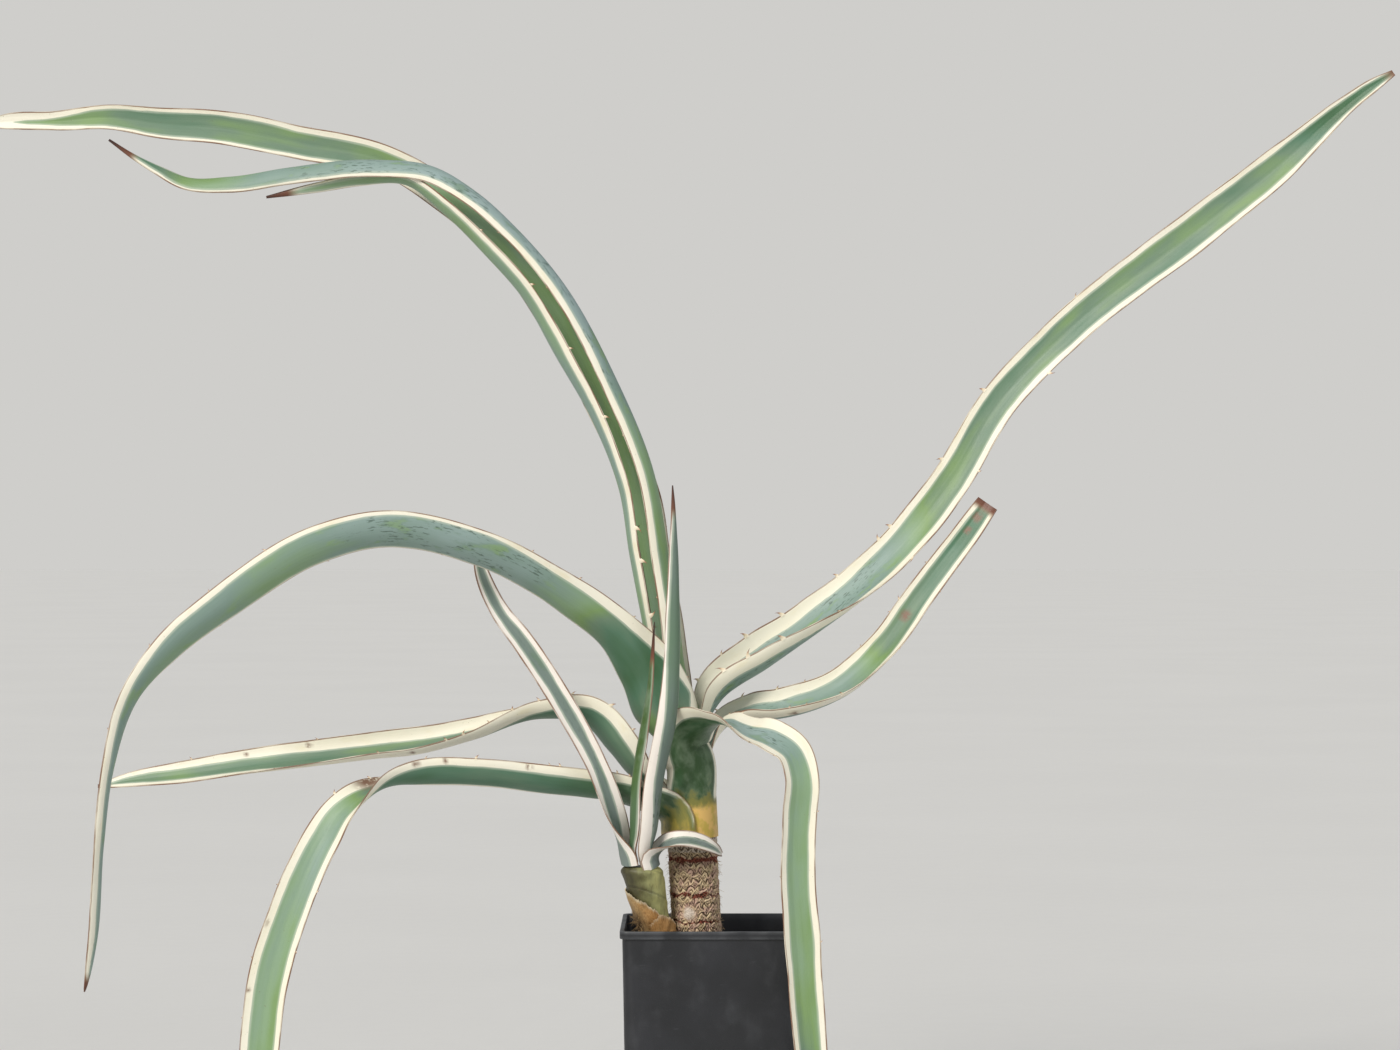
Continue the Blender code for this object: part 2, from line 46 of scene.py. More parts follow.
# Pot and potting mix, as in the frame.
POT_HEIGHT = 0.280
POT_RIM_HALF = 0.103
POT_RIM_HEIGHT = 0.0085
POT_TOP_HALF = 0.1003
POT_FOOT_HALF = 0.0955
POT_WALL = 0.0022
POT_FLOOR = 0.0030
POT_TOP_CORNER = 0.010
POT_FOOT_CORNER = 0.018
DRAIN_RADIUS = 0.006
DRAIN_FROM_MIDDLE = 0.055
MIX_TOP = 0.256

# Trunk and offset stem.
TRUNK_FOOT = (-0.0148, 0.0, 0.170)
TRUNK_LEAN = -0.052
TRUNK_RADIUS = 0.0264
OFFSET_SOIL = (-0.0625, -0.0200, 0.262)
OFFSET_TOP = (-0.0794, -0.0337, 0.338)
OFFSET_SOIL_RADIUS = 0.0150
OFFSET_TOP_RADIUS = 0.0210

LEFT = 1
RIGHT = -1

# Stations of a leaf's route: midrib x, y, z, blade width along its curve, turn of the channel in
# degrees (0 faces up or towards the stem, 90 the front, -90 the back, 180 down), curl in degrees.
# sheath: azimuth on the stem in degrees, radius, curl, bottom height, top height.
# crease: where the channel's groove lies, as a share across.
# cream: millimetres along the leaf, width of the cream band at the first and at the second margin.
# bloom_and_shade: millimetres along the leaf, colour of the green from fresh (0) to thick bloom (1),
# set low as painted shade on a side turned from the light; back_bloom_and_shade: the same on the
# back, where it differs.
# blanch: millimetres along the leaf, how yellow its clasping base is; blanch_channel: the share
# of that on the channel side.
# first, second: where each margin's teeth stand, in millimetres along the leaf.
# tooth: the usual height of a tooth in millimetres.
# horn: where the horny tip starts and where it is fully brown.
# spots: corky spots as millimetres along, share across, radius in millimetres.
TRUNK_LEAVES = {
    "leaf_upright_front": {
        "side": LEFT,
        "sheath": (-20, 0.0138, 60, 0.458, 0.480),
        "route": (
            (-0.019, -0.005, 0.512, 0.038, 200, 60),
            (-0.034, -0.004, 0.554, 0.050, 194, 63),
            (-0.042, -0.003, 0.613, 0.054, 190, 66),
            (-0.053, -0.002, 0.684, 0.053, 188, 66),
            (-0.070, -0.002, 0.777, 0.051, 188, 64),
            (-0.110, -0.002, 0.876, 0.051, 188, 64),
            (-0.172, -0.002, 0.987, 0.047, 190, 62),
            (-0.218, -0.002, 1.040, 0.044, 194, 60),
            (-0.265, -0.003, 1.082, 0.042, 200, 58),
            (-0.311, -0.004, 1.108, 0.039, 208, 56),
            (-0.376, -0.006, 1.114, 0.034, 218, 52),
            (-0.471, -0.008, 1.104, 0.030, 225, 48),
            (-0.533, -0.009, 1.094, 0.026, 228, 45),
            (-0.584, -0.010, 1.095, 0.019, 228, 42),
            (-0.612, -0.010, 1.108, 0.013, 228, 40),
            (-0.638, -0.010, 1.122, 0.007, 228, 40),
            (-0.665, -0.010, 1.140, 0.003, 228, 40),
        ),
        "cream": (
            (0, 7, 6), (100, 7, 7), (300, 7, 7), (560, 7, 7), (700, 6, 6), (810, 4, 3.5),
            (905, 2, 2.5), (1000, 1, 2),
        ),
        "back_bloom_and_shade": (
            (0, 0.45), (230, 0.45), (325, 0.58), (431, 0.78), (560, 0.95), (700, 0.95), (905, 0.75),
            (1019, 0.5), (1060, 0.25),
        ),
        # The channel faces down; its low values paint it dark green as shade.
        "bloom_and_shade": (
            (0, 0.24), (180, 0.16), (560, 0.04), (800, 0.3), (905, 0.75), (1019, 0.5), (1060, 0.25),
        ),
        "first": (150, 240, 330, 430, 560),
        "second": (118, 185, 262, 352, 372, 455, 560, 640),
        "tooth": 3.2,
        "horn": (1070, 1090),
    },
    "leaf_upright_inner": {
        "side": LEFT,
        "sheath": (200, 0.0138, 45, 0.458, 0.480),
        "route": (
            (-0.055, -0.004, 0.510, 0.034, -12, 55),
            (-0.068, -0.003, 0.555, 0.038, -5, 50),
            (-0.079, -0.003, 0.616, 0.042, 0, 50),
            (-0.092, -0.002, 0.684, 0.045, 0, 52),
            (-0.104, -0.002, 0.757, 0.043, -4, 50),
            (-0.134, -0.002, 0.834, 0.045, -8, 52),
            (-0.173, -0.002, 0.903, 0.049, -12, 54),
            (-0.213, -0.002, 0.972, 0.047, -12, 53),
            (-0.250, -0.002, 1.014, 0.042, -14, 54),
            (-0.298, -0.002, 1.062, 0.034, -18, 50),
            (-0.340, -0.003, 1.094, 0.021, -30, 46),
            (-0.392, -0.004, 1.095, 0.015, -60, 40),
            (-0.439, -0.005, 1.087, 0.011, -70, 36),
            (-0.493, -0.005, 1.077, 0.003, -70, 36),
        ),
        "cream": (
            (0, 6, 6), (160, 6, 6.5), (300, 6.5, 7), (470, 7, 7.5), (600, 6, 6.5), (700, 4, 4),
            (800, 2, 2),
        ),
        # The low values paint shade into the channel, inside the upright bundle of leaves.
        "bloom_and_shade": ((0, 0.22), (180, 0.14), (560, 0.04), (700, 0.3), (879, 0.6)),
        "back_bloom_and_shade": ((0, 0.5), (230, 0.62), (400, 0.66), (550, 0.6), (700, 0.55), (879, 0.6)),
        "first": (162, 225, 262, 385, 468, 548, 630),
        "second": (150, 260, 400, 520),
        "tooth": 8.0,
        "horn": (838, 862),
    },
    "leaf_upright_long": {
        "side": LEFT,
        "sheath": (112, 0.0138, 40, 0.460, 0.480),
        "route": (
            (-0.038, 0.026, 0.515, 0.028, 75, 40),
            (-0.050, 0.036, 0.580, 0.038, 83, 38),
            (-0.066, 0.044, 0.660, 0.042, 83, 34),
            (-0.085, 0.046, 0.760, 0.042, 83, 32),
            (-0.128, 0.046, 0.860, 0.042, 82, 30),
            (-0.182, 0.046, 0.955, 0.042, 80, 30),
            (-0.238, 0.048, 1.030, 0.040, 80, 30),
            (-0.290, 0.050, 1.074, 0.038, 80, 30),
            (-0.361, 0.052, 1.120, 0.034, 85, 28),
            (-0.461, 0.055, 1.142, 0.038, 85, 28),
            (-0.557, 0.056, 1.160, 0.038, 85, 28),
            (-0.617, 0.056, 1.164, 0.035, 85, 28),
            (-0.675, 0.056, 1.171, 0.028, 85, 28),
            (-0.733, 0.056, 1.167, 0.021, 85, 28),
            (-0.790, 0.056, 1.166, 0.017, 85, 28),
            (-0.808, 0.056, 1.164, 0.009, 85, 28),
        ),
        "cream": ((0, 5, 6), (773, 4, 7), (1000, 3, 4), (1110, 3, 4), (1185, 6, 9), (1225, 12, 12)),
        "bloom_and_shade": ((0, 0.5), (600, 0.5), (740, 0.6), (820, 0.38), (1000, 0.37), (1100, 0.45)),
        "first": (300, 420, 560, 700),
        "second": (260, 380, 500, 620, 745, 868),
        "tooth": 2.4,
        "horn": (1216, 1240),
    },
    "leaf_arching_left": {
        "side": LEFT,
        "sheath": (228, 0.0213, 80, 0.412, 0.455),
        "route": (
            (-0.060, -0.022, 0.512, 0.088, -72, 58),
            (-0.077, -0.026, 0.554, 0.078, -70, 48),
            (-0.104, -0.036, 0.592, 0.060, -66, 42),
            (-0.165, -0.060, 0.641, 0.049, -64, 36),
            (-0.258, -0.100, 0.691, 0.045, -64, 34),
            (-0.354, -0.125, 0.710, 0.045, -65, 34),
            (-0.428, -0.145, 0.692, 0.045, -65, 34),
            (-0.515, -0.160, 0.636, 0.044, -60, 36),
            (-0.577, -0.170, 0.585, 0.039, -50, 40),
            (-0.614, -0.180, 0.535, 0.035, -30, 46),
            (-0.634, -0.190, 0.466, 0.036, -5, 55),
            (-0.645, -0.192, 0.380, 0.036, 5, 55),
            (-0.652, -0.192, 0.280, 0.032, 5, 55),
            (-0.658, -0.192, 0.248, 0.020, 5, 50),
            (-0.664, -0.192, 0.226, 0.004, 5, 40),
        ),
        "cream": (
            (0, 10, 10), (70, 14, 2), (90, 12, 1), (112, 5, 1), (135, 9, 1), (165, 13, 1),
            (200, 12, 1), (280, 8, 1.5), (390, 3.5, 2), (494, 4, 2), (572, 5, 2), (677, 6, 2),
            (758, 7, 3), (893, 8, 8), (1080, 7, 7), (1136, 2, 2),
        ),
        "bloom_and_shade": (
            (0, 0.4), (70, 0.5), (110, 0.3), (150, 0.14), (200, 0.24), (260, 0.55), (330, 0.85),
            (500, 0.82), (560, 0.7), (640, 0.62), (700, 0.7), (1100, 0.75),
        ),
        "first": (128, 150, 165, 205, 275, 335, 615, 690, 770, 860),
        "second": (240, 420, 560, 700, 830),
        "tooth": 5.2,
        "horn": (1112, 1130),
    },
    "leaf_low_left": {
        "side": LEFT,
        "sheath": (170, 0.0250, 32, 0.392, 0.425),
        "route": (
            (-0.086, -0.004, 0.438, 0.068, -12, 60),
            (-0.113, -0.006, 0.470, 0.084, -20, 66),
            (-0.140, -0.004, 0.501, 0.072, -26, 60),
            (-0.190, 0.000, 0.506, 0.056, -12, 66),
            (-0.265, 0.005, 0.484, 0.052, 20, 74),
            (-0.330, 0.010, 0.469, 0.056, 32, 78),
            (-0.371, 0.013, 0.465, 0.054, 34, 76),
            (-0.445, 0.018, 0.457, 0.048, 40, 68),
            (-0.522, 0.025, 0.449, 0.040, 46, 56),
            (-0.598, 0.030, 0.439, 0.030, 52, 42),
            (-0.652, 0.033, 0.433, 0.018, 55, 32),
            (-0.684, 0.035, 0.427, 0.004, 55, 30),
        ),
        "cream": (
            (0, 9, 12), (72, 12, 13), (114, 13, 12), (151, 12, 11), (202, 13, 12), (280, 17, 15),
            (400, 15, 14), (500, 11, 11), (600, 8, 8), (706, 3, 3),
        ),
        "bloom_and_shade": ((0, 0.24), (114, 0.28), (200, 0.3), (300, 0.36), (400, 0.36), (706, 0.36)),
        "first": (118, 145, 175, 205, 232, 262, 290, 312, 388, 505, 560),
        "second": (130, 160, 190, 458, 600),
        "tooth": 6.5,
        "horn": (688, 704),
        "spots": ((470, 0.8, 2.5), (540, 0.75, 2), (352, -0.8, 2.5)),
    },
    "leaf_drooping_left": {
        "side": LEFT,
        "sheath": (215, 0.0325, 62, 0.370, 0.392),
        "route": (
            (-0.080, -0.025, 0.411, 0.058, -40, 54),
            (-0.105, -0.027, 0.421, 0.054, -42, 50),
            (-0.143, -0.030, 0.428, 0.050, -45, 48),
            (-0.181, -0.040, 0.433, 0.048, -48, 46),
            (-0.251, -0.060, 0.443, 0.044, -50, 42),
            (-0.324, -0.080, 0.443, 0.044, -40, 52),
            (-0.359, -0.090, 0.434, 0.048, 2, 66),
            (-0.384, -0.100, 0.421, 0.046, 36, 58),
            (-0.402, -0.105, 0.408, 0.042, 55, 34),
            (-0.420, -0.110, 0.381, 0.044, 70, 32),
            (-0.438, -0.115, 0.346, 0.044, 78, 32),
            (-0.454, -0.118, 0.306, 0.045, 80, 32),
            (-0.475, -0.120, 0.240, 0.046, 80, 32),
            (-0.486, -0.122, 0.157, 0.045, 80, 32),
            (-0.490, -0.122, 0.085, 0.034, 80, 32),
            (-0.492, -0.122, 0.022, 0.004, 80, 32),
        ),
        "cream": (
            (0, 1, 1), (16, 1.5, 1.5), (48, 3.5, 3), (70, 7, 6), (100, 10, 8), (161, 9, 9),
            (310, 7, 9), (352, 8, 12), (400, 7, 8.5), (671, 6.5, 8), (743, 6, 6), (806, 2, 2),
        ),
        "blanch": ((0, 0.7), (12, 0.45), (24, 0.26), (38, 0.08), (50, 0)),
        "blanch_channel": 1.0,
        "bloom_and_shade": (
            (0, 0.0), (60, 0.05), (100, 0.12), (170, 0.2), (235, 0.3), (300, 0.22), (345, 0.3),
            (400, 0.6), (520, 0.6), (620, 0.5), (806, 0.46),
        ),
        "first": (78, 92, 155, 165, 248, 300, 490, 560),
        "second": (140, 200, 352, 395, 500, 580, 640),
        "tooth": 5.6,
        "horn": (785, 800),
        "spots": (
            (310, -0.85, 2.6), (280, -0.85, 2.4), (190, -0.85, 2.8), (356, 0.98, 13),
            (540, 0.86, 2), (610, 0.9, 2),
        ),
    },
    "leaf_front_folded": {
        "side": RIGHT,
        "sheath": (-80, 0.0290, 70, 0.374, 0.460),
        "route": (
            (-0.030, -0.031, 0.471, 0.068, -78, 62),
            (-0.025, -0.040, 0.487, 0.072, -59, 56),
            (-0.012, -0.056, 0.499, 0.073, -30, 50),
            (0.009, -0.075, 0.503, 0.066, 0, 42),
            (0.037, -0.095, 0.493, 0.056, 26, 36),
            (0.061, -0.110, 0.486, 0.052, 40, 32),
            (0.082, -0.125, 0.472, 0.046, 55, 32),
            (0.090, -0.135, 0.448, 0.041, 65, 30),
            (0.0880, -0.138, 0.409, 0.040, 70, 30),
            (0.0865, -0.140, 0.339, 0.040, 72, 30),
            (0.091, -0.140, 0.275, 0.041, 72, 30),
            (0.095, -0.140, 0.216, 0.040, 72, 30),
            (0.100, -0.140, 0.158, 0.038, 70, 30),
            (0.106, -0.140, 0.090, 0.028, 70, 30),
            (0.112, -0.140, 0.022, 0.004, 70, 30),
        ),
        "cream": (
            (0, 6, 2), (34, 9, 4), (50, 9, 8), (75, 8, 12), (100, 7, 13), (130, 10, 13),
            (160, 15, 12), (186, 17, 12), (220, 14, 11), (250, 12, 10), (308, 7, 7), (599, 6, 6),
            (735, 2, 2),
        ),
        "bloom_and_shade": (
            (0, 0.1), (60, 0.08), (110, 0.05), (135, 0.15), (150, 0.75), (222, 0.9), (281, 0.62),
            (330, 0.6), (481, 0.5), (599, 0.42), (735, 0.4),
        ),
        # The back's low values near the base paint shade there.
        "back_bloom_and_shade": ((0, 0.05), (70, 0.0), (160, 0.05), (200, 0.45), (735, 0.4)),
        "first": (150, 160, 172, 330, 470),
        "second": (175, 197, 225, 262, 400, 520),
        "tooth": 4.6,
        "horn": (715, 730),
        "blanch": ((0, 1), (26, 0.9), (36, 0.42), (46, 0.14), (60, 0.04), (90, 0)),
        "crease": 0.25,
    },
    "leaf_long_right": {
        "side": RIGHT,
        "sheath": (8, 0.0175, 52, 0.430, 0.485),
        "route": (
            (0.004, 0.006, 0.524, 0.078, 12, 86),
            (0.058, 0.010, 0.564, 0.090, 20, 92),
            (0.108, 0.015, 0.601, 0.077, 28, 76),
            (0.152, 0.020, 0.638, 0.062, 42, 56),
            (0.199, 0.022, 0.685, 0.051, 60, 38),
            (0.262, 0.025, 0.765, 0.046, 72, 32),
            (0.313, 0.030, 0.850, 0.043, 75, 30),
            (0.388, 0.035, 0.929, 0.044, 75, 30),
            (0.535, 0.040, 1.044, 0.047, 75, 30),
            (0.630, 0.045, 1.119, 0.040, 75, 30),
            (0.701, 0.050, 1.182, 0.022, 75, 32),
            (0.733, 0.050, 1.206, 0.015, 75, 32),
            (0.755, 0.050, 1.220, 0.006, 75, 32),
        ),
        "cream": (
            (0, 12, 10), (100, 18, 14), (167, 18, 14), (229, 15, 12), (287, 12, 11), (353, 8, 8),
            (454, 6.5, 7), (849, 6, 6), (971, 5, 5), (1066, 3, 3), (1132, 1, 1),
        ),
        # The middle run's darker grey-green is painted shade on the channel.
        "bloom_and_shade": (
            (0, 0.85), (229, 0.85), (330, 0.75), (420, 0.4), (663, 0.35), (870, 0.36), (971, 0.44),
            (1050, 0.14), (1132, 0.15),
        ),
        "first": (85, 104, 130, 165, 213, 290, 352, 375, 470, 560, 700),
        "second": (120, 150, 195, 262, 360, 480, 620),
        "tooth": 8.0,
        "horn": (1112, 1140),
    },
    "leaf_cut_right": {
        "side": RIGHT,
        "sheath": (31, 0.0250, 36, 0.402, 0.465),
        "route": (
            (0.015, 0.012, 0.499, 0.048, 18, 70),
            (0.041, 0.002, 0.506, 0.062, 22, 82),
            (0.070, -0.010, 0.509, 0.065, 26, 82),
            (0.141, -0.012, 0.536, 0.056, 36, 66),
            (0.187, -0.012, 0.582, 0.043, 52, 46),
            (0.226, -0.012, 0.640, 0.034, 70, 32),
            (0.280, -0.012, 0.712, 0.030, 70, 30),
            (0.300, -0.012, 0.740, 0.026, 70, 28),
        ),
        "cream": ((0, 9, 9), (105, 13, 12), (167, 13, 12), (245, 9, 9), (307, 6, 6), (495, 5, 5)),
        "bloom_and_shade": (
            (0, 0.7), (167, 0.78), (245, 0.68), (307, 0.42), (371, 0.36), (461, 0.26), (495, 0.3),
        ),
        "first": (100, 120, 165, 205, 290, 345, 362, 412),
        "second": (180, 200, 240, 315, 395),
        "tooth": 5.2,
        "horn": (488, 500),
        "spots": ((350, -0.1, 5.5), (466, -0.1, 3.5), (185, 0.7, 3), (484, -0.1, 5)),
        "crease": -0.3,
    },
}

OFFSET_LEAVES = {
    "offset_leaf_left": {
        "side": LEFT,
        "sheath": (190, 0.0197, 72, 0.3465, 0.356),
        "route": (
            (-0.106, -0.042, 0.375, 0.042, 10, 64),
            (-0.113, -0.048, 0.405, 0.032, 45, 50),
            (-0.123, -0.054, 0.440, 0.026, 70, 40),
            (-0.168, -0.055, 0.527, 0.026, 80, 35),
            (-0.211, -0.048, 0.592, 0.024, 80, 35),
            (-0.235, -0.043, 0.623, 0.021, 80, 35),
            (-0.255, -0.040, 0.667, 0.015, 80, 35),
            (-0.262, -0.038, 0.700, 0.003, 80, 35),
        ),
        "cream": (
            (0, 7, 8), (30, 8, 10), (61, 8, 8), (97, 7, 7), (195, 6, 6), (313, 5, 5), (395, 1, 1),
        ),
        "bloom_and_shade": ((0, 0.9), (100, 0.75), (395, 0.72)),
        "first": (70, 84, 98, 116, 130, 150, 172, 196, 224, 255, 290),
        "second": (64, 90, 112, 140, 168, 200, 236, 270),
        "tooth": 1.8,
        "horn": (382, 392),
    },
    "offset_leaf_upright": {
        "side": RIGHT,
        "sheath": (-15, 0.0135, 72, 0.3465, 0.356),
        "route": (
            (-0.066, -0.049, 0.385, 0.036, -28, 70),
            (-0.061, -0.063, 0.440, 0.033, -44, 66),
            (-0.048, -0.080, 0.510, 0.029, -54, 62),
            (-0.044, -0.077, 0.570, 0.024, -56, 60),
            (-0.043, -0.071, 0.640, 0.019, -52, 60),
            (-0.043, -0.067, 0.690, 0.014, -44, 60),
            (-0.044, -0.067, 0.730, 0.008, -30, 60),
            (-0.046, -0.067, 0.760, 0.002, -30, 60),
        ),
        "cream": (
            (0, 3, 14), (40, 2, 13), (97, 1.5, 10), (168, 1.5, 7), (228, 1.5, 3), (298, 1.5, 2),
            (419, 0.5, 1),
        ),
        "bloom_and_shade": ((0, 0.9), (97, 0.8), (168, 0.7), (228, 0.55), (298, 0.55), (348, 0.7), (419, 0.7)),
        "first": (),
        "second": (52, 61, 70, 80, 91, 100, 112, 121, 133, 142, 155, 166, 180),
        "tooth": 1.6,
        "horn": (380, 402),
    },
    "offset_leaf_youngest": {
        "side": LEFT,
        "sheath": (180, 0.0080, 70, 0.3465, 0.356),
        "route": (
            (-0.0915, -0.043, 0.385, 0.025, -14, 64),
            (-0.089, -0.054, 0.440, 0.024, -18, 60),
            (-0.080, -0.057, 0.497, 0.022, -18, 58),
            (-0.073, -0.060, 0.540, 0.017, -14, 58),
            (-0.069, -0.061, 0.578, 0.009, -10, 58),
            (-0.066, -0.061, 0.612, 0.002, -10, 58),
        ),
        "cream": ((0, 2, 2), (60, 1, 1), (150, 0, 0)),
        "bloom_and_shade": ((0, 0.5), (60, 0.3), (120, 0.05), (269, 0.0)),
        "first": (),
        "second": (),
        "tooth": 1.0,
        "horn": (214, 236),
    },
    "offset_leaf_wrapping": {
        "side": RIGHT,
        "sheath": (-10, 0.0200, 72, 0.3465, 0.353),
        "route": (
            (-0.057, -0.043, 0.364, 0.040, 5, 62),
            (-0.046, -0.048, 0.371, 0.030, 30, 48),
            (-0.030, -0.048, 0.373, 0.024, 45, 42),
            (-0.012, -0.044, 0.369, 0.020, 50, 40),
            (0.000, -0.036, 0.363, 0.014, 50, 40),
            (0.007, -0.024, 0.357, 0.005, 50, 40),
        ),
        "cream": ((0, 9, 9), (20, 9, 9), (50, 6, 6), (84, 4, 4), (99, 3, 3)),
        "bloom_and_shade": ((0, 0.9), (99, 0.85)),
        "first": (),
        "second": (),
        "tooth": 1.0,
        "horn": (200, 220),
    },
}


# ---------------------------------------------------------------- nodes and materials


def linear(hex_colour):
    """A linear RGBA colour from an sRGB hex value."""
    channels = [int(hex_colour[i : i + 2], 16) / 255 for i in (1, 3, 5)]
    return (*[c / 12.92 if c <= 0.04045 else ((c + 0.055) / 1.055) ** 2.4 for c in channels], 1.0)


def add(tree, kind, inputs=(), **settings):
    """Adds a node with its settings and links. Inputs are in order or by name; each may be a number,
    a colour, a socket or a node, whose first output is linked."""
    node = tree.nodes.new("ShaderNode" + kind)
    for name, value in settings.items():
        if name == "stops":
            elements = node.color_ramp.elements
            elements[0].position, elements[0].color = value[0][0], linear(value[0][1])
            elements[1].position, elements[1].color = value[-1][0], linear(value[-1][1])
            for position, colour in value[1:-1]:
                elements.new(position).color = linear(colour)
        else:
            setattr(node, name, value)
    named = inputs if isinstance(inputs, dict) else dict(enumerate(inputs))
    for name, value in named.items():
        if isinstance(value, bpy.types.Node):
            value = value.outputs[0]
        if isinstance(value, bpy.types.NodeSocket):
            tree.links.new(value, node.inputs[name])
        else:
            node.inputs[name].default_value = value
    return node


def start_material(name):
    """A new material and its node tree, empty but for the output."""
    material = bpy.data.materials.new(name)
    material.use_nodes = True
    material.node_tree.nodes.remove(material.node_tree.nodes["Principled BSDF"])
    return material, material.node_tree


def finish_material(material, colour, roughness, height, depth, ior=1.45):
    """Joins colour, roughness and a height in metres times depth to the material's shader."""
    tree = material.node_tree
    bump = add(tree, "Bump", {"Height": height, "Distance": depth, "Strength": 1.0})
    surface_inputs = {"Base Color": colour, "Roughness": roughness, "Normal": bump, "IOR": ior}
    shader = add(tree, "BsdfPrincipled", surface_inputs)
    tree.links.new(shader.outputs[0], tree.nodes["Material Output"].inputs["Surface"])
    return material


def three_values(tree, name):
    """The three values that a mesh keeps at each point under a name."""
    stored = add(tree, "Attribute", attribute_name=name)
    return add(tree, "SeparateXYZ", (stored.outputs["Vector"],)).outputs


def swayed(tree, level, pattern, reach):
    """A level moved up and down by reach times a pattern's distance from its middle."""
    away = add(tree, "Math", (pattern, 0.5), operation="SUBTRACT")
    return add(tree, "Math", (away, reach, level), operation="MULTIPLY_ADD")


def mask(tree, *ranges):
    """The share where all ranges hold. A range is a pattern, the two values between which it changes
    smoothly and, where they aren't 0 and 1, its shares at those two."""
    shares = [add(tree, "MapRange", values, interpolation_type="SMOOTHSTEP") for values in ranges]
    product = shares[0]
    for share in shares[1:]:
        product = add(tree, "Math", (product, share), operation="MULTIPLY")
    return product


def tint(tree, under, over, *ranges):
    """The colour under, changed to the colour over where all ranges hold."""
    return add(tree, "MixRGB", (mask(tree, *ranges), under, over))


def cells(tree, size_mm, detail=3.0, stretch=(1, 1, 1)):
    """Noise in object space whose features are about size_mm wide."""
    place = add(tree, "Mapping", {"Vector": add(tree, "TexCoord").outputs["Object"], "Scale": stretch})
    return add(tree, "TexNoise", {"Vector": place, "Scale": 1 / (size_mm * MM), "Detail": detail})


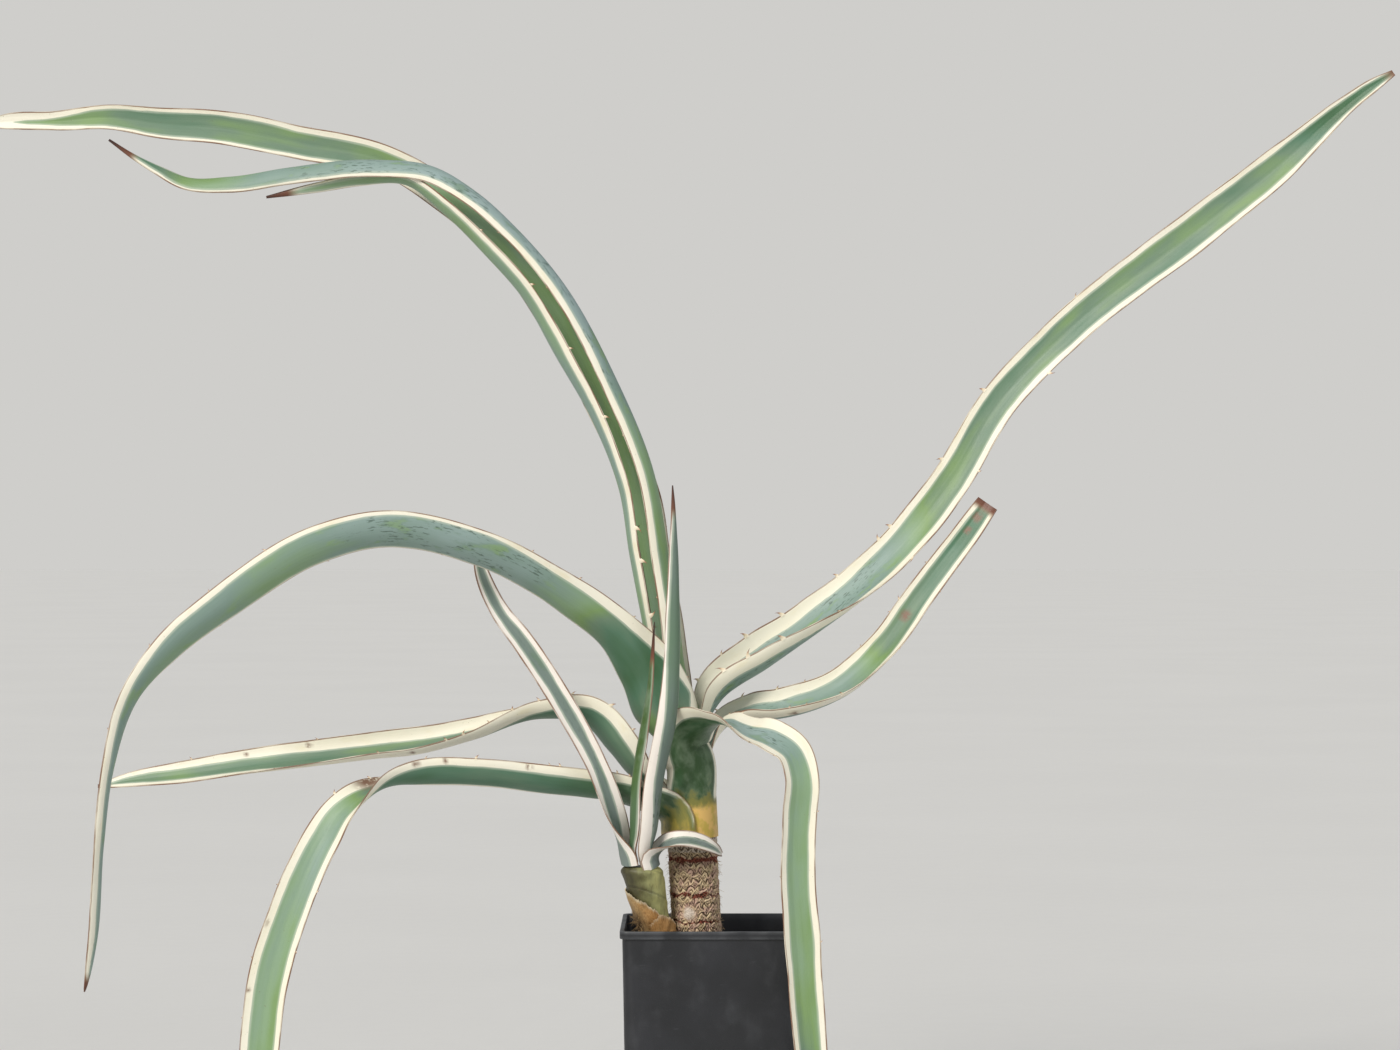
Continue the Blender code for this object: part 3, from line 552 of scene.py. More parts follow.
def leaf_material(name, cream_colours, bloom_and_shade_stops):
    """Living agave leaf: a smooth waxy skin over firm flesh, so soft broad highlights, a blue-grey
    bloom that hides the green, and cream margins with no bloom and a fine brown edge. The green is
    also painted darker as shade where the bloom value is set low."""
    material, tree = start_material(name)
    run, across, seed = three_values(tree, "lie")
    past_cream, bloom_and_shade, edge = three_values(tree, "dress")
    blanch, horn, spot = three_values(tree, "age")

    def noise_along(run_mm, across_mm, detail=3.0, shift=0.0):
        """Noise whose features are about run_mm long and across_mm wide."""
        place = (
            add(tree, "Math", (run, run_mm), operation="DIVIDE"),
            add(tree, "Math", (across, across_mm), operation="DIVIDE"),
            add(tree, "Math", (seed, shift), operation="ADD"),
        )
        vector = add(tree, "CombineXYZ", place)
        inputs = {"Vector": vector, "Scale": 1.0, "Detail": detail, "Roughness": 0.55}
        return add(tree, "TexNoise", inputs)

    streaks = noise_along(90.0, 1.3, 4.0)  # the fibres in the flesh, 1 to 2 mm apart
    patches = noise_along(38.0, 14.0, 4.0, 5.0)
    clouds = noise_along(120.0, 30.0, 2.0, 8.0)
    mottle = noise_along(17.0, 12.0, 4.0, 29.0)
    inward = swayed(tree, past_cream, noise_along(45.0, 400.0, 2.0, 3.0), 2.6)
    inward = swayed(tree, inward, streaks, 1.8)  # millimetres inward from where the cream ends

    # The green, painted darker as shade where the bloom value is low, with its bloom rubbed off in
    # patches, pale fibres, a pale border and scratches.
    rubbed = mask(tree, (patches, 0.54, 0.68), (bloom_and_shade, 0.5, 0.95, 0.0, 0.3))
    bloom_and_shade_level = add(tree, "Math", (swayed(tree, bloom_and_shade, clouds, 0.5), rubbed), operation="SUBTRACT")
    green = add(tree, "ValToRGB", (bloom_and_shade_level,), stops=bloom_and_shade_stops)
    fibres = mask(tree, (streaks, 0.35, 0.7, 0.0, 0.22))
    green = add(tree, "MixRGB", (fibres, green, linear("#dfe6dc")), blend_type="MULTIPLY")
    green = tint(tree, green, linear("#b9c3b0"), (inward, 0.5, 3.2, 0.65, 0.0))
    fine, broad = noise_along(9.0, 1.8, 3.0, 32.0), noise_along(50.0, 14.0, 2.0, 35.0)
    scratched = ((fine, 0.54, 0.62), (broad, 0.46, 0.56), (bloom_and_shade, 0.7, 0.8, 0.0, 0.7))
    green = tint(tree, green, linear("#42574a"), *scratched)

    cream = add(tree, "MixRGB", (clouds, linear(cream_colours[0]), linear(cream_colours[1])))
    cream = tint(tree, cream, linear(cream_colours[2]), (patches, 0.55, 0.75, 0.0, 0.5))
    skin = tint(tree, cream, green, (inward, -0.35, 0.45))

    # Near the stem, where the bloom value is low for bare green and for painted shade, the green is
    # mottled, and it fades through olive to yellow where it clasps.
    mottled_where_low = ((bloom_and_shade, 0.0, 0.2, 1.0, 0.0), (mottle, 0.36, 0.74), (inward, -0.35, 0.45, 0.0, 0.7))
    skin = tint(tree, skin, linear("#74886e"), *mottled_where_low)
    yellow = tint(tree, linear("#dcb468"), linear("#bfa548"), (mottle, 0.42, 0.6))
    fading = swayed(tree, blanch, mottle, 0.9)
    skin = tint(tree, skin, linear("#7d7a3c"), (fading, 0.1, 0.3), (blanch, 0.0, 0.1))
    skin = tint(tree, skin, yellow, (fading, 0.32, 0.6), (blanch, 0.0, 0.1))

    # Age: freckles, the brown edge line, broken in places, corky spots and the dry tip.
    skin = tint(tree, skin, linear("#6b5a41"), (noise_along(2.4, 2.0, 2.0, 11.0), 0.71, 0.76, 0.0, 0.5))
    broken = (noise_along(55.0, 900.0, 3.0, 14.0), 0.38, 0.56, 0.3, 1.0)
    edge_line = ((edge, 0.35, 0.95, 1.0, 0.0), broken, (blanch, 0.1, 0.5, 1.0, 0.0))
    skin = tint(tree, skin, linear("#80604a"), *edge_line)
    crust = mask(tree, (noise_along(5.0, 5.0, 3.0, 17.0), 0.25, 0.5))
    corky = add(tree, "Math", (spot, crust), operation="MULTIPLY")
    skin = add(tree, "MixRGB", (corky, skin, linear("#7c5f4c")))
    brown = add(tree, "ValToRGB", (horn,), stops=((0.0, "#8f7a58"), (0.4, "#6e4533"), (1.0, "#38201a")))
    skin = tint(tree, skin, brown, (horn, 0.05, 0.4))

    roughness = add(tree, "Math", (bloom_and_shade, 0.14, 0.37), operation="MULTIPLY_ADD")
    roughness = swayed(tree, roughness, patches, 0.12)
    striae = noise_along(60.0, 0.5, 3.0, 20.0)
    grain = noise_along(1.5, 1.2, 3.0, 23.0)
    height = add(tree, "Math", (grain, 0.35, striae), operation="MULTIPLY_ADD")
    height = add(tree, "Math", (patches, 0.8, height), operation="MULTIPLY_ADD")
    return finish_material(material, skin, roughness, height, 0.00018, ior=1.44)


def tooth_material():
    """Marginal teeth: horn that grows out of the cream margin, hard and slightly glossy at the tip."""
    material, tree = start_material("agave_tooth_horn")
    horn = add(tree, "Attribute", attribute_name="horn").outputs["Fac"]
    stops = ((0.0, "#efe8d2"), (0.4, "#e2d0b0"), (0.66, "#9c6446"), (1.0, "#472418"))
    colour = add(tree, "ValToRGB", (horn,), stops=stops)
    colour = tint(tree, colour, linear("#c9a98c"), (cells(tree, 1.5), 0.45, 0.7, 0.0, 0.35))
    roughness = add(tree, "Math", (horn, -0.12, 0.46), operation="MULTIPLY_ADD")
    return finish_material(material, colour, roughness, cells(tree, 0.8), 0.0001, ior=1.54)


def trunk_material():
    """Agave trunk: torn leaf bases dried to a matt fibrous bark, pale fibre ends, brightened in part as
    painted highlight, over dark creases, their own dark tissue deepened with painted shade.
    """
    material, tree = start_material("agave_leaf_scar_bark")
    crease, band, pale = three_values(tree, "scar")
    fibre = cells(tree, 1.6, 5.0, (1, 1, 0.35))
    blotch = cells(tree, 9.0, 4.0)
    colour = tint(tree, linear("#d6bf9a"), linear("#c4a290"), (blotch, 0.4, 0.62))
    # Pale fibres: their own pale colour, with a painted highlight on the raised fibres.
    colour = tint(tree, colour, linear("#e6d6ae"), (fibre, 0.54, 0.72, 0.0, 0.85))
    colour = tint(tree, colour, linear("#ab7263"), (band, 0.0, 0.6, 0.0, 0.55))
    rusty = add(tree, "Math", (fibre, 0.5, band), operation="MULTIPLY_ADD")
    colour = tint(tree, colour, linear("#7c3d2c"), (rusty, 0.5, 1.0))
    bleached = add(tree, "Math", (blotch, 0.4, pale), operation="MULTIPLY_ADD")
    colour = tint(tree, colour, linear("#d8cabb"), (bleached, 0.55, 1.0))
    # Dark creases: the scars' own dark tissue, deepened with painted shade in the grooves.
    colour = tint(tree, colour, linear("#3d2416"), (crease, 0.25, 0.85, 0.0, 0.9))
    height = add(tree, "Math", (fibre, 0.8, cells(tree, 0.5)), operation="MULTIPLY_ADD")
    return finish_material(material, colour, mask(tree, (fibre, 0.3, 0.7, 0.72, 0.9)), height, 0.0006)


def young_stem_material():
    """Offset stem: clasped young leaf bases, olive skin with painted light, pale yellow at the right,
    and painted shade, dark at the left; satin.
    """
    material, tree = start_material("agave_young_stem_skin")
    light = add(tree, "Attribute", attribute_name="light").outputs["Fac"]
    blotch = cells(tree, 11.0, 4.0, (1, 1, 0.6))
    fibre = cells(tree, 1.4, 4.0, (1, 1, 0.15))
    stops = ((0.0, "#3f3c24"), (0.35, "#5d5b3a"), (0.62, "#87875a"), (1.0, "#b9b678"))
    # Painted light and shade: the light value makes the right side pale yellow and the left dark olive.
    colour = add(tree, "ValToRGB", (swayed(tree, light, blotch, 0.9),), stops=stops)
    colour = tint(tree, colour, linear("#5e4a2c"), (fibre, 0.56, 0.7, 0.0, 0.4))
    return finish_material(material, colour, mask(tree, (blotch, 0.3, 0.7, 0.42, 0.6)), fibre, 0.0003)


def papery_material():
    """Dried leaf base: a thin brittle sheet, matt, fibrous along its length, pale where it is torn."""
    material, tree = start_material("agave_dried_leaf_base")
    rim, warm, dark = three_values(tree, "paper")
    fibre = cells(tree, 0.9, 5.0, (1, 1, 0.2))
    blotch = cells(tree, 7.0, 4.0)
    stops = ((0.0, "#a58c64"), (0.5, "#bb9a68"), (1.0, "#b98a52"))
    colour = add(tree, "ValToRGB", (swayed(tree, warm, blotch, 0.8),), stops=stops)
    colour = tint(tree, colour, linear("#8a6238"), (fibre, 0.45, 0.7, 0.0, 0.6))
    # Darker where the dark value is high: towards the sheath's foot and on its left side, and on some
    # foot fibres.
    darkened = add(tree, "Math", (blotch, 0.3, dark), operation="MULTIPLY_ADD")
    colour = tint(tree, colour, linear("#3c2a1b"), (darkened, 0.4, 1.0, 0.0, 0.9))
    colour = tint(tree, colour, linear("#dccdae"), (rim, 0.0, 1.0, 0.0, 0.85))
    height = add(tree, "Math", (blotch, 1.5, fibre), operation="MULTIPLY_ADD")
    return finish_material(material, colour, mask(tree, (fibre, 0.3, 0.7, 0.6, 0.82)), height, 0.0005)


def pot_material():
    """Injection-moulded polypropylene, charcoal, finely sparked mould texture: a satin sheen with
    dust and pale scuffs from handling."""
    material, tree = start_material("moulded_charcoal_polypropylene")
    cloud = cells(tree, 60.0, 5.0)
    dust = cells(tree, 22.0, 6.0, (1, 1, 0.7))
    scuff = cells(tree, 16.0, 7.0, (1.0, 1.0, 1.6))
    scratch = cells(tree, 2.2, 4.0, (0.25, 0.25, 2.2))
    edge = add(tree, "Attribute", attribute_name="edge_wear").outputs["Fac"]
    colour = tint(tree, linear("#1b1c1f"), linear("#242529"), (cloud, 0.35, 0.65))
    colour = tint(tree, colour, linear("#3f4145"), (dust, 0.5, 0.78, 0.0, 0.3))
    colour = tint(tree, colour, linear("#6b6d72"), (scuff, 0.6, 0.72), (scratch, 0.5, 0.66, 0.0, 0.08))
    dusty = mask(tree, (dust, 0.35, 0.6, 0.08, 0.4))
    worn = add(tree, "Math", (edge, dusty), operation="MULTIPLY")
    colour = add(tree, "MixRGB", (worn, colour, linear("#77797d")))
    roughness = mask(tree, (dust, 0.4, 0.7, 0.38, 0.58))
    # The real mould texture is about 0.3 mm; it is drawn at 0.9 mm so that it shows.
    height = add(tree, "Math", (cloud, 2.0, cells(tree, 0.9, 2.0)), operation="MULTIPLY_ADD")
    return finish_material(material, colour, roughness, height, 0.00012, ior=1.49)


def mix_material(name, first, second, third, size_mm):
    """Bark-based potting mix: matt crumbs of composted bark and peat, damp ones darker."""
    material, tree = start_material(name)
    coarse = cells(tree, size_mm, 4.0)
    fine = cells(tree, size_mm / 6, 4.0)
    colour = tint(tree, linear(first), linear(second), (coarse, 0.4, 0.6))
    colour = tint(tree, colour, linear(third), (fine, 0.55, 0.72))
    height = add(tree, "Math", (coarse, 2.0, fine), operation="MULTIPLY_ADD")
    return finish_material(material, colour, mask(tree, (coarse, 0.3, 0.7, 0.75, 0.95)), height, 0.0008)


# ---------------------------------------------------------------- meshes


def piece_from(name, points, faces, material, replaces=None, attributes=None, sharp=45):
    """A closed mesh as a piece of the plant, riding the root body."""
    mesh = bpy.data.meshes.new(name)
    mesh.from_pydata([tuple(p) for p in points], [], faces)
    for attribute, values in (attributes or {}).items():
        values = np.asarray(values, dtype=np.float32)
        kind = "FLOAT" if values.ndim == 1 else "FLOAT_VECTOR"
        layer = mesh.attributes.new(attribute, kind, "POINT")
        layer.data.foreach_set("value" if kind == "FLOAT" else "vector", values.ravel())
    bm = bmesh.new()
    bm.from_mesh(mesh)
    bmesh.ops.recalc_face_normals(bm, faces=bm.faces)
    bm.to_mesh(mesh)
    bm.free()
    mesh.materials.append(material)
    mesh.shade_smooth()
    mesh.set_sharp_from_angle(angle=math.radians(sharp))
    piece = bpy.data.objects.new(name, mesh)
    bpy.context.scene.collection.objects.link(piece)
    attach(piece, "root")
    if replaces:
        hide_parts(replaces)
    return piece


def ring_faces(rows, count, first=0, closed=True):
    """Quads between rows of count points each."""
    last = count if closed else count - 1
    return [
        (
            first + i * count + j,
            first + i * count + (j + 1) % count,
            first + (i + 1) * count + (j + 1) % count,
            first + (i + 1) * count + j,
        )
        for i in range(rows - 1)
        for j in range(last)
    ]


def tube_faces(rows, count, first=0):
    """Quads between rows of count points each, and a cap at both ends."""
    faces = ring_faces(rows, count, first)
    for start in (first, first + (rows - 1) * count):
        faces.append(tuple(range(start, start + count)))
    return faces


class Gathered:
    """Many small closed solids gathered in one mesh, with one value at each point."""

    def __init__(self):
        self.points, self.faces, self.values = [], [], []

    def rings(self, rings, values):
        """Rings of equal length, capped at both ends."""
        first = len(self.points)
        count = len(rings[0])
        for ring, value in zip(rings, values):
            self.points.extend(ring)
            self.values.extend([value] * count)
        self.faces.extend(tube_faces(len(rings), count, first))


def wander(points, wavelength, seed, waves=7):
    """Smooth seeded unevenness from -1 to 1 over points, with bumps about wavelength apart."""
    random = np.random.default_rng(seed)
    total = np.zeros(len(points))
    for _ in range(waves):
        direction = random.normal(size=points.shape[1])
        direction /= np.linalg.norm(direction)
        length = wavelength * random.uniform(0.7, 1.6)
        total += np.sin(points @ direction * 2 * math.pi / length + random.uniform(0, 2 * math.pi))
    return total / math.sqrt(waves) / 1.4


# ---------------------------------------------------------------- leaves

ROW_STEP = 0.004
ACROSS = 22
RIM_ANGLES = (45, 90, 135)
MARGIN_THICKNESS = 0.0013
MIDRIB_THICKNESS = 0.0044
YOUNG_MIDRIB_THICKNESS = 0.0026
SHEATH_THICKNESS = 0.0024
CLASPED = 60  # millimetres of a leaf that hug the stem, smooth and even
WIDTH_UNEVENNESS = 0.02
TIP_THINNING = 0.45
THICKEST_SHARE = 0.3  # of the blade's width
CHANNEL_LIFT = 0.45  # shares of the thickness on the channel's side and on the back
BACK_LIFT = -0.55
GROOVE_BREADTH = 0.0016
GROOVE_DEPTH = 0.0004
RIPPLE_LENGTH = 75.0  # millimetres along a margin
RIPPLE_HEIGHT = 0.0006
MARGINS_APART = 500.0  # keeps the two margins' ripples unlike each other
WIDEST_CREAM = 0.8  # as a share of half the blade
DRY_END = 110  # millimetres at the tip where the cream may close over the green
CREAM_END = 9


def trunk_axis(height):
    """The middle of the leaning trunk at a height."""
    x, y, z = TRUNK_FOOT
    return (x + TRUNK_LEAN * (height - z), y, height)


def offset_axis(height):
    """The middle of the offset's stem at a height."""
    share = (height - OFFSET_SOIL[2]) / (OFFSET_TOP[2] - OFFSET_SOIL[2])
    x = OFFSET_SOIL[0] + (OFFSET_TOP[0] - OFFSET_SOIL[0]) * share
    y = OFFSET_SOIL[1] + (OFFSET_TOP[1] - OFFSET_SOIL[1]) * share
    return (x, y, height)


def clasp(leaf, axis):
    """Stations where a leaf's base wraps its stem."""
    azimuth, radius, curl, bottom, top = leaf["sheath"]
    turn = 180 - azimuth if leaf["side"] == LEFT else azimuth
    width = 2 * radius * math.radians(curl)
    stations = []
    for height in (bottom, (bottom + top) / 2, top):
        x, y, z = axis(height)
        x += radius * math.cos(math.radians(azimuth))
        y += radius * math.sin(math.radians(azimuth))
        stations.append((x, y, z, width, turn, curl))
    return stations


def eased(rows):
    """Rows about ROW_STEP apart along a smooth curve through every station."""
    rows = np.array(rows, dtype=float)
    lengths = np.linalg.norm(np.diff(rows[:, :3], axis=0), axis=1)
    slopes = np.diff(rows, axis=0) / lengths[:, None]
    tangents = np.empty_like(rows)
    tangents[0] = slopes[0]
    tangents[-1] = slopes[-1]
    before, after = lengths[:-1, None], lengths[1:, None]
    tangents[1:-1] = (slopes[:-1] * after + slopes[1:] * before) / (before + after)
    result = []
    for i, span in enumerate(lengths):
        steps = max(2, round(span / ROW_STEP))
        for step in range(steps):
            t = step / steps
            start = rows[i] * (2 * t**3 - 3 * t**2 + 1) + tangents[i] * span * (t**3 - 2 * t**2 + t)
            end = rows[i + 1] * (3 * t**2 - 2 * t**3) + tangents[i + 1] * span * (t**3 - t**2)
            result.append(start + end)
    result.append(rows[-1])
    return np.array(result)


def section_frames(points, turns, side):
    """Direction of the leaf, facing of its channel and direction across it, at each row."""
    along = np.gradient(points, axis=0)
    along /= np.linalg.norm(along, axis=1)[:, None]
    upward = side * np.stack((along[:, 2], np.zeros(len(along)), -along[:, 0]), axis=1)
    upward /= np.linalg.norm(upward, axis=1)[:, None]
    frontward = side * np.cross(upward, along)
    cosine = np.cos(np.radians(turns))[:, None]
    sine = np.sin(np.radians(turns))[:, None]
    facing = cosine * upward + sine * frontward
    return along, facing, np.cross(along, facing)


def stops_at(run, stops, column=1):
    """A column of the stops, drawn out along the leaf."""
    return np.interp(run, [s[0] for s in stops], [s[column] for s in stops])


def blade(leaf, axis, midrib_thickness, seed):
    """Everything a leaf's surfaces and teeth need: its rows, frames and section arcs."""
    rows = eased([*clasp(leaf, axis), *leaf["route"]])
    steps = np.linalg.norm(np.diff(rows[:, :3], axis=0), axis=1)
    run = np.concatenate(([0.0], np.cumsum(steps))) / MM
    along, facing, across = section_frames(rows[:, :3], rows[:, 4], leaf["side"])
    clear = np.clip((run - CLASPED) / 80, 0, 1)
    rows[:, 3] *= 1 + WIDTH_UNEVENNESS * wander(run[:, None], 90.0, seed) * clear
    base = np.clip((run - CLASPED) / 60, 0, 1)
    thick = SHEATH_THICKNESS + (midrib_thickness - SHEATH_THICKNESS) * base
    thick *= 1 - TIP_THINNING * np.clip(run / run[-1], 0, 1)
    thick = np.minimum(thick, rows[:, 3] * THICKEST_SHARE)
    return {
        "rows": rows,
        "run": run,
        "along": along,
        "facing": facing,
        "across": across,
        "thick": thick,
        "clear": clear,
        "seed": seed,
    }


def surface(shape, shares, lift):
    """Points of the section at shares across (-1 to 1), lifted by shares of the thickness."""
    rows = shape["rows"]
    half = np.radians(rows[:, 5])[:, None]
    radius = ((rows[:, 3] / 2)[:, None] / half)[..., None]
    angle = shares * half
    sine, cosine = np.sin(angle)[..., None], np.cos(angle)[..., None]
    facing, across = shape["facing"][:, None], shape["across"][:, None]
    centre = rows[:, None, :3] + across * radius * sine + facing * radius * (1 - cosine)
    normal = facing * cosine - across * sine
    tangent = across * cosine + facing * sine
    edge = np.minimum(MARGIN_THICKNESS, rows[:, 3] * 0.2)[:, None]
    local = edge + (shape["thick"][:, None] - edge).clip(0) * (1 - shares**2) ** 0.7
    ripples = []
    for sign in (-1, 1):
        margin = np.stack((shape["run"], np.full(len(rows), sign * MARGINS_APART)), axis=1)
        ripples.append(wander(margin, RIPPLE_LENGTH, shape["seed"] + 40)[:, None])
    wave = np.where(shares < 0, *ripples) * shares**4 * RIPPLE_HEIGHT * shape["clear"][:, None]
    centre = centre + normal * wave[..., None]
    return centre + normal * (local * lift)[..., None], normal, tangent, local


def build_leaf(name, leaf, axis, material, midrib_thickness, seed):
    """One leaf with its values of place, dress and age at each point; gives its shape for the teeth."""
    shape = blade(leaf, axis, midrib_thickness, seed)
    rows, run = shape["rows"], shape["run"]
    count = len(rows)
    shares = np.linspace(-1, 1, ACROSS + 1)[None, :].repeat(count, axis=0)
    channel, _, _, local = surface(shape, shares, CHANNEL_LIFT)
    groove = np.exp(-(((shares - leaf.get("crease", 0.0)) * rows[:, 3:4] / 2 / GROOVE_BREADTH) ** 2))
    groove *= GROOVE_DEPTH * shape["clear"][:, None]
    channel = channel - shape["facing"][:, None] * groove[..., None]
    back, normal, tangent, _ = surface(shape, shares, BACK_LIFT)

    def rim(side, angles):
        """The rounded edge at one margin, from the channel side to the back or the other way."""
        points = []
        column = -1 if side > 0 else 0
        middle = (channel[:, column] + back[:, column]) / 2
        for angle in angles:
            out = tangent[:, column] * side * math.sin(math.radians(angle))
            up = normal[:, column] * math.cos(math.radians(angle))
            points.append(middle + (out + up) * local[:, column, None] / 2)
        return points

    rings = [channel[:, k] for k in range(ACROSS + 1)]
    rings += rim(1, RIM_ANGLES)
    rings += [back[:, k] for k in range(ACROSS, -1, -1)]
    rings += rim(-1, RIM_ANGLES[::-1])
    loop = np.stack(rings, axis=1)
    size = loop.shape[1]
    edges = len(RIM_ANGLES)
    spread = np.linspace(-1, 1, ACROSS + 1)
    share = np.concatenate((spread, np.ones(edges), spread[::-1], -np.ones(edges)))
    flat = np.zeros(ACROSS + 1)
    rear = np.concatenate((flat, np.full(edges, 0.5), flat + 1, np.full(edges, 0.5)))
    at_rim = np.concatenate((flat, np.ones(edges), flat, np.ones(edges)))

    faces = ring_faces(count, size)
    for start in (0, (count - 1) * size):
        for k in range(ACROSS):
            other = 2 * ACROSS + edges + 1 - k
            faces.append((start + k, start + k + 1, start + other - 1, start + other))
        turn = ACROSS
        faces.append(tuple(start + turn + k for k in range(edges + 2)))
        turn = 2 * ACROSS + edges + 1
        faces.append((*[start + turn + k for k in range(edges + 1)], start))

    half_width = rows[:, 3:4] / 2 / MM
    edge = (1 - np.abs(share))[None, :] * half_width
    none = np.zeros_like(edge)
    first, second = (stops_at(run, leaf["cream"], column)[:, None] for column in (1, 2))
    widest = half_width * WIDEST_CREAM + np.where(run > run[-1] - DRY_END, CREAM_END, 0)[:, None]
    band = np.minimum(np.where(share < 0, first, second), widest)
    # The bloom value along the leaf, set low as painted shade on a side turned from the light.
    bloom_and_shade = stops_at(run, leaf["bloom_and_shade"])[:, None] + none
    back_bloom_and_shade = stops_at(run, leaf.get("back_bloom_and_shade", leaf["bloom_and_shade"]))[:, None]
    bloom_and_shade = np.where(rear[None, :] > 0.4, back_bloom_and_shade, bloom_and_shade)
    blanch = none
    if "blanch" in leaf:
        sides = np.where(rear > 0.4, 1, leaf.get("blanch_channel", 0.4))
        blanch = stops_at(run, leaf["blanch"])[:, None] * sides[None, :]
    start, full = leaf["horn"]
    tip = np.clip((run - start) / (full - start) * 0.5, 0, 1)[:, None] + none
    spot = none
    for place, where, radius in leaf.get("spots", ()):
        away = np.hypot(run[:, None] - place, (share[None, :] - where) * half_width)
        spot = np.maximum(spot, np.clip(1.6 - away / radius, 0, 1))
    own_pattern = seed * 7.3 + rear[None, :] * 2 + none
    lie = np.stack((run[:, None] + none, share[None, :] * half_width, own_pattern), axis=2)
    dress = np.stack((edge - band, bloom_and_shade, edge * (1 - at_rim)[None, :]), axis=2)
    age = np.stack((blanch, tip, spot), axis=2)
    attributes = {"lie": lie.reshape(-1, 3), "dress": dress.reshape(-1, 3), "age": age.reshape(-1, 3)}
    piece_from(name, loop.reshape(-1, 3), faces, material, name, attributes)
    return shape


TOOTH_SIDES = 8
TOOTH_RINGS = (0.0, 0.12, 0.28, 0.46, 0.64, 0.82, 0.96)
TOOTH_SUNK = 0.0011


def build_teeth(name, leaf, shape, material, seed):
    """Hooked horny teeth on low swellings of the margins."""
    random = np.random.default_rng(seed)
    teeth = Gathered()
    run = shape["run"]
    ends = {
        -1: surface(shape, np.full((len(run), 1), -1.0), 0.0),
        1: surface(shape, np.full((len(run), 1), 1.0), 0.0),
    }
    turn = np.linspace(0, 2 * math.pi, TOOTH_SIDES, endpoint=False)
    for side, places in ((-1, leaf["first"]), (1, leaf["second"])):
        middle, normal, tangent, _ = ends[side]
        for place in places:
            row = int(np.argmin(np.abs(run - place)))
            height = leaf["tooth"] * MM * random.uniform(0.75, 1.35) * (1 - 0.4 * place / run[-1])
            hook = random.choice((-1.0, -1.0, 1.0)) * random.uniform(0.35, 0.85)
            lean = random.uniform(-0.1, 0.35)
            along = shape["along"][row]
            out = tangent[row, 0] * side + normal[row, 0] * lean
            out /= np.linalg.norm(out)
            foot = middle[row, 0] - out * TOOTH_SUNK
            length = height * 0.34 + 0.0010
            breadth = height * 0.10 + 0.00045
            rings = []
            for t in TOOTH_RINGS:
                slim = 0.62 * (1 - t) ** 1.15 + 0.38 * (1 - t) ** 6 + 0.03
                outward = out * (height + TOOTH_SUNK) * (t - 0.18 * t**3)
                centre = foot + outward + along * hook * height * t**2.2
                wide, thin = along * length * slim, normal[row, 0] * breadth * slim
                rings.append([centre + wide * math.cos(a) + thin * math.sin(a) for a in turn])
            teeth.rings(rings, TOOTH_RINGS)
    if not teeth.points:
        return None
    values = {"horn": teeth.values}
    return piece_from(name + "_teeth", teeth.points, teeth.faces, material, None, values, 70)


# ---------------------------------------------------------------- trunk and offset stem

SCARS_ROUND = 20
SCAR_ROW = 9.2  # millimetres from one row of leaf scars to the next
TRUNK_ROUND = 300
TRUNK_ROWS = 190
TRUNK_LOW = 0.246
TRUNK_HIGH = 0.380
CROWN = ((0.388, 0.0222), (0.408, 0.0187), (0.428, 0.0149), (0.452, 0.0110), (0.474, 0.0040))
PATCH_ANGLE = -1.85  # a worn pale patch at the front: radians round the trunk, height and radius
PATCH_HEIGHT = 0.292
PATCH_RADIUS = 0.008
RED_BANDS = ((0.3507, 0.0036), (0.3115, 0.0022), (0.2825, 0.0014))  # height, half breadth


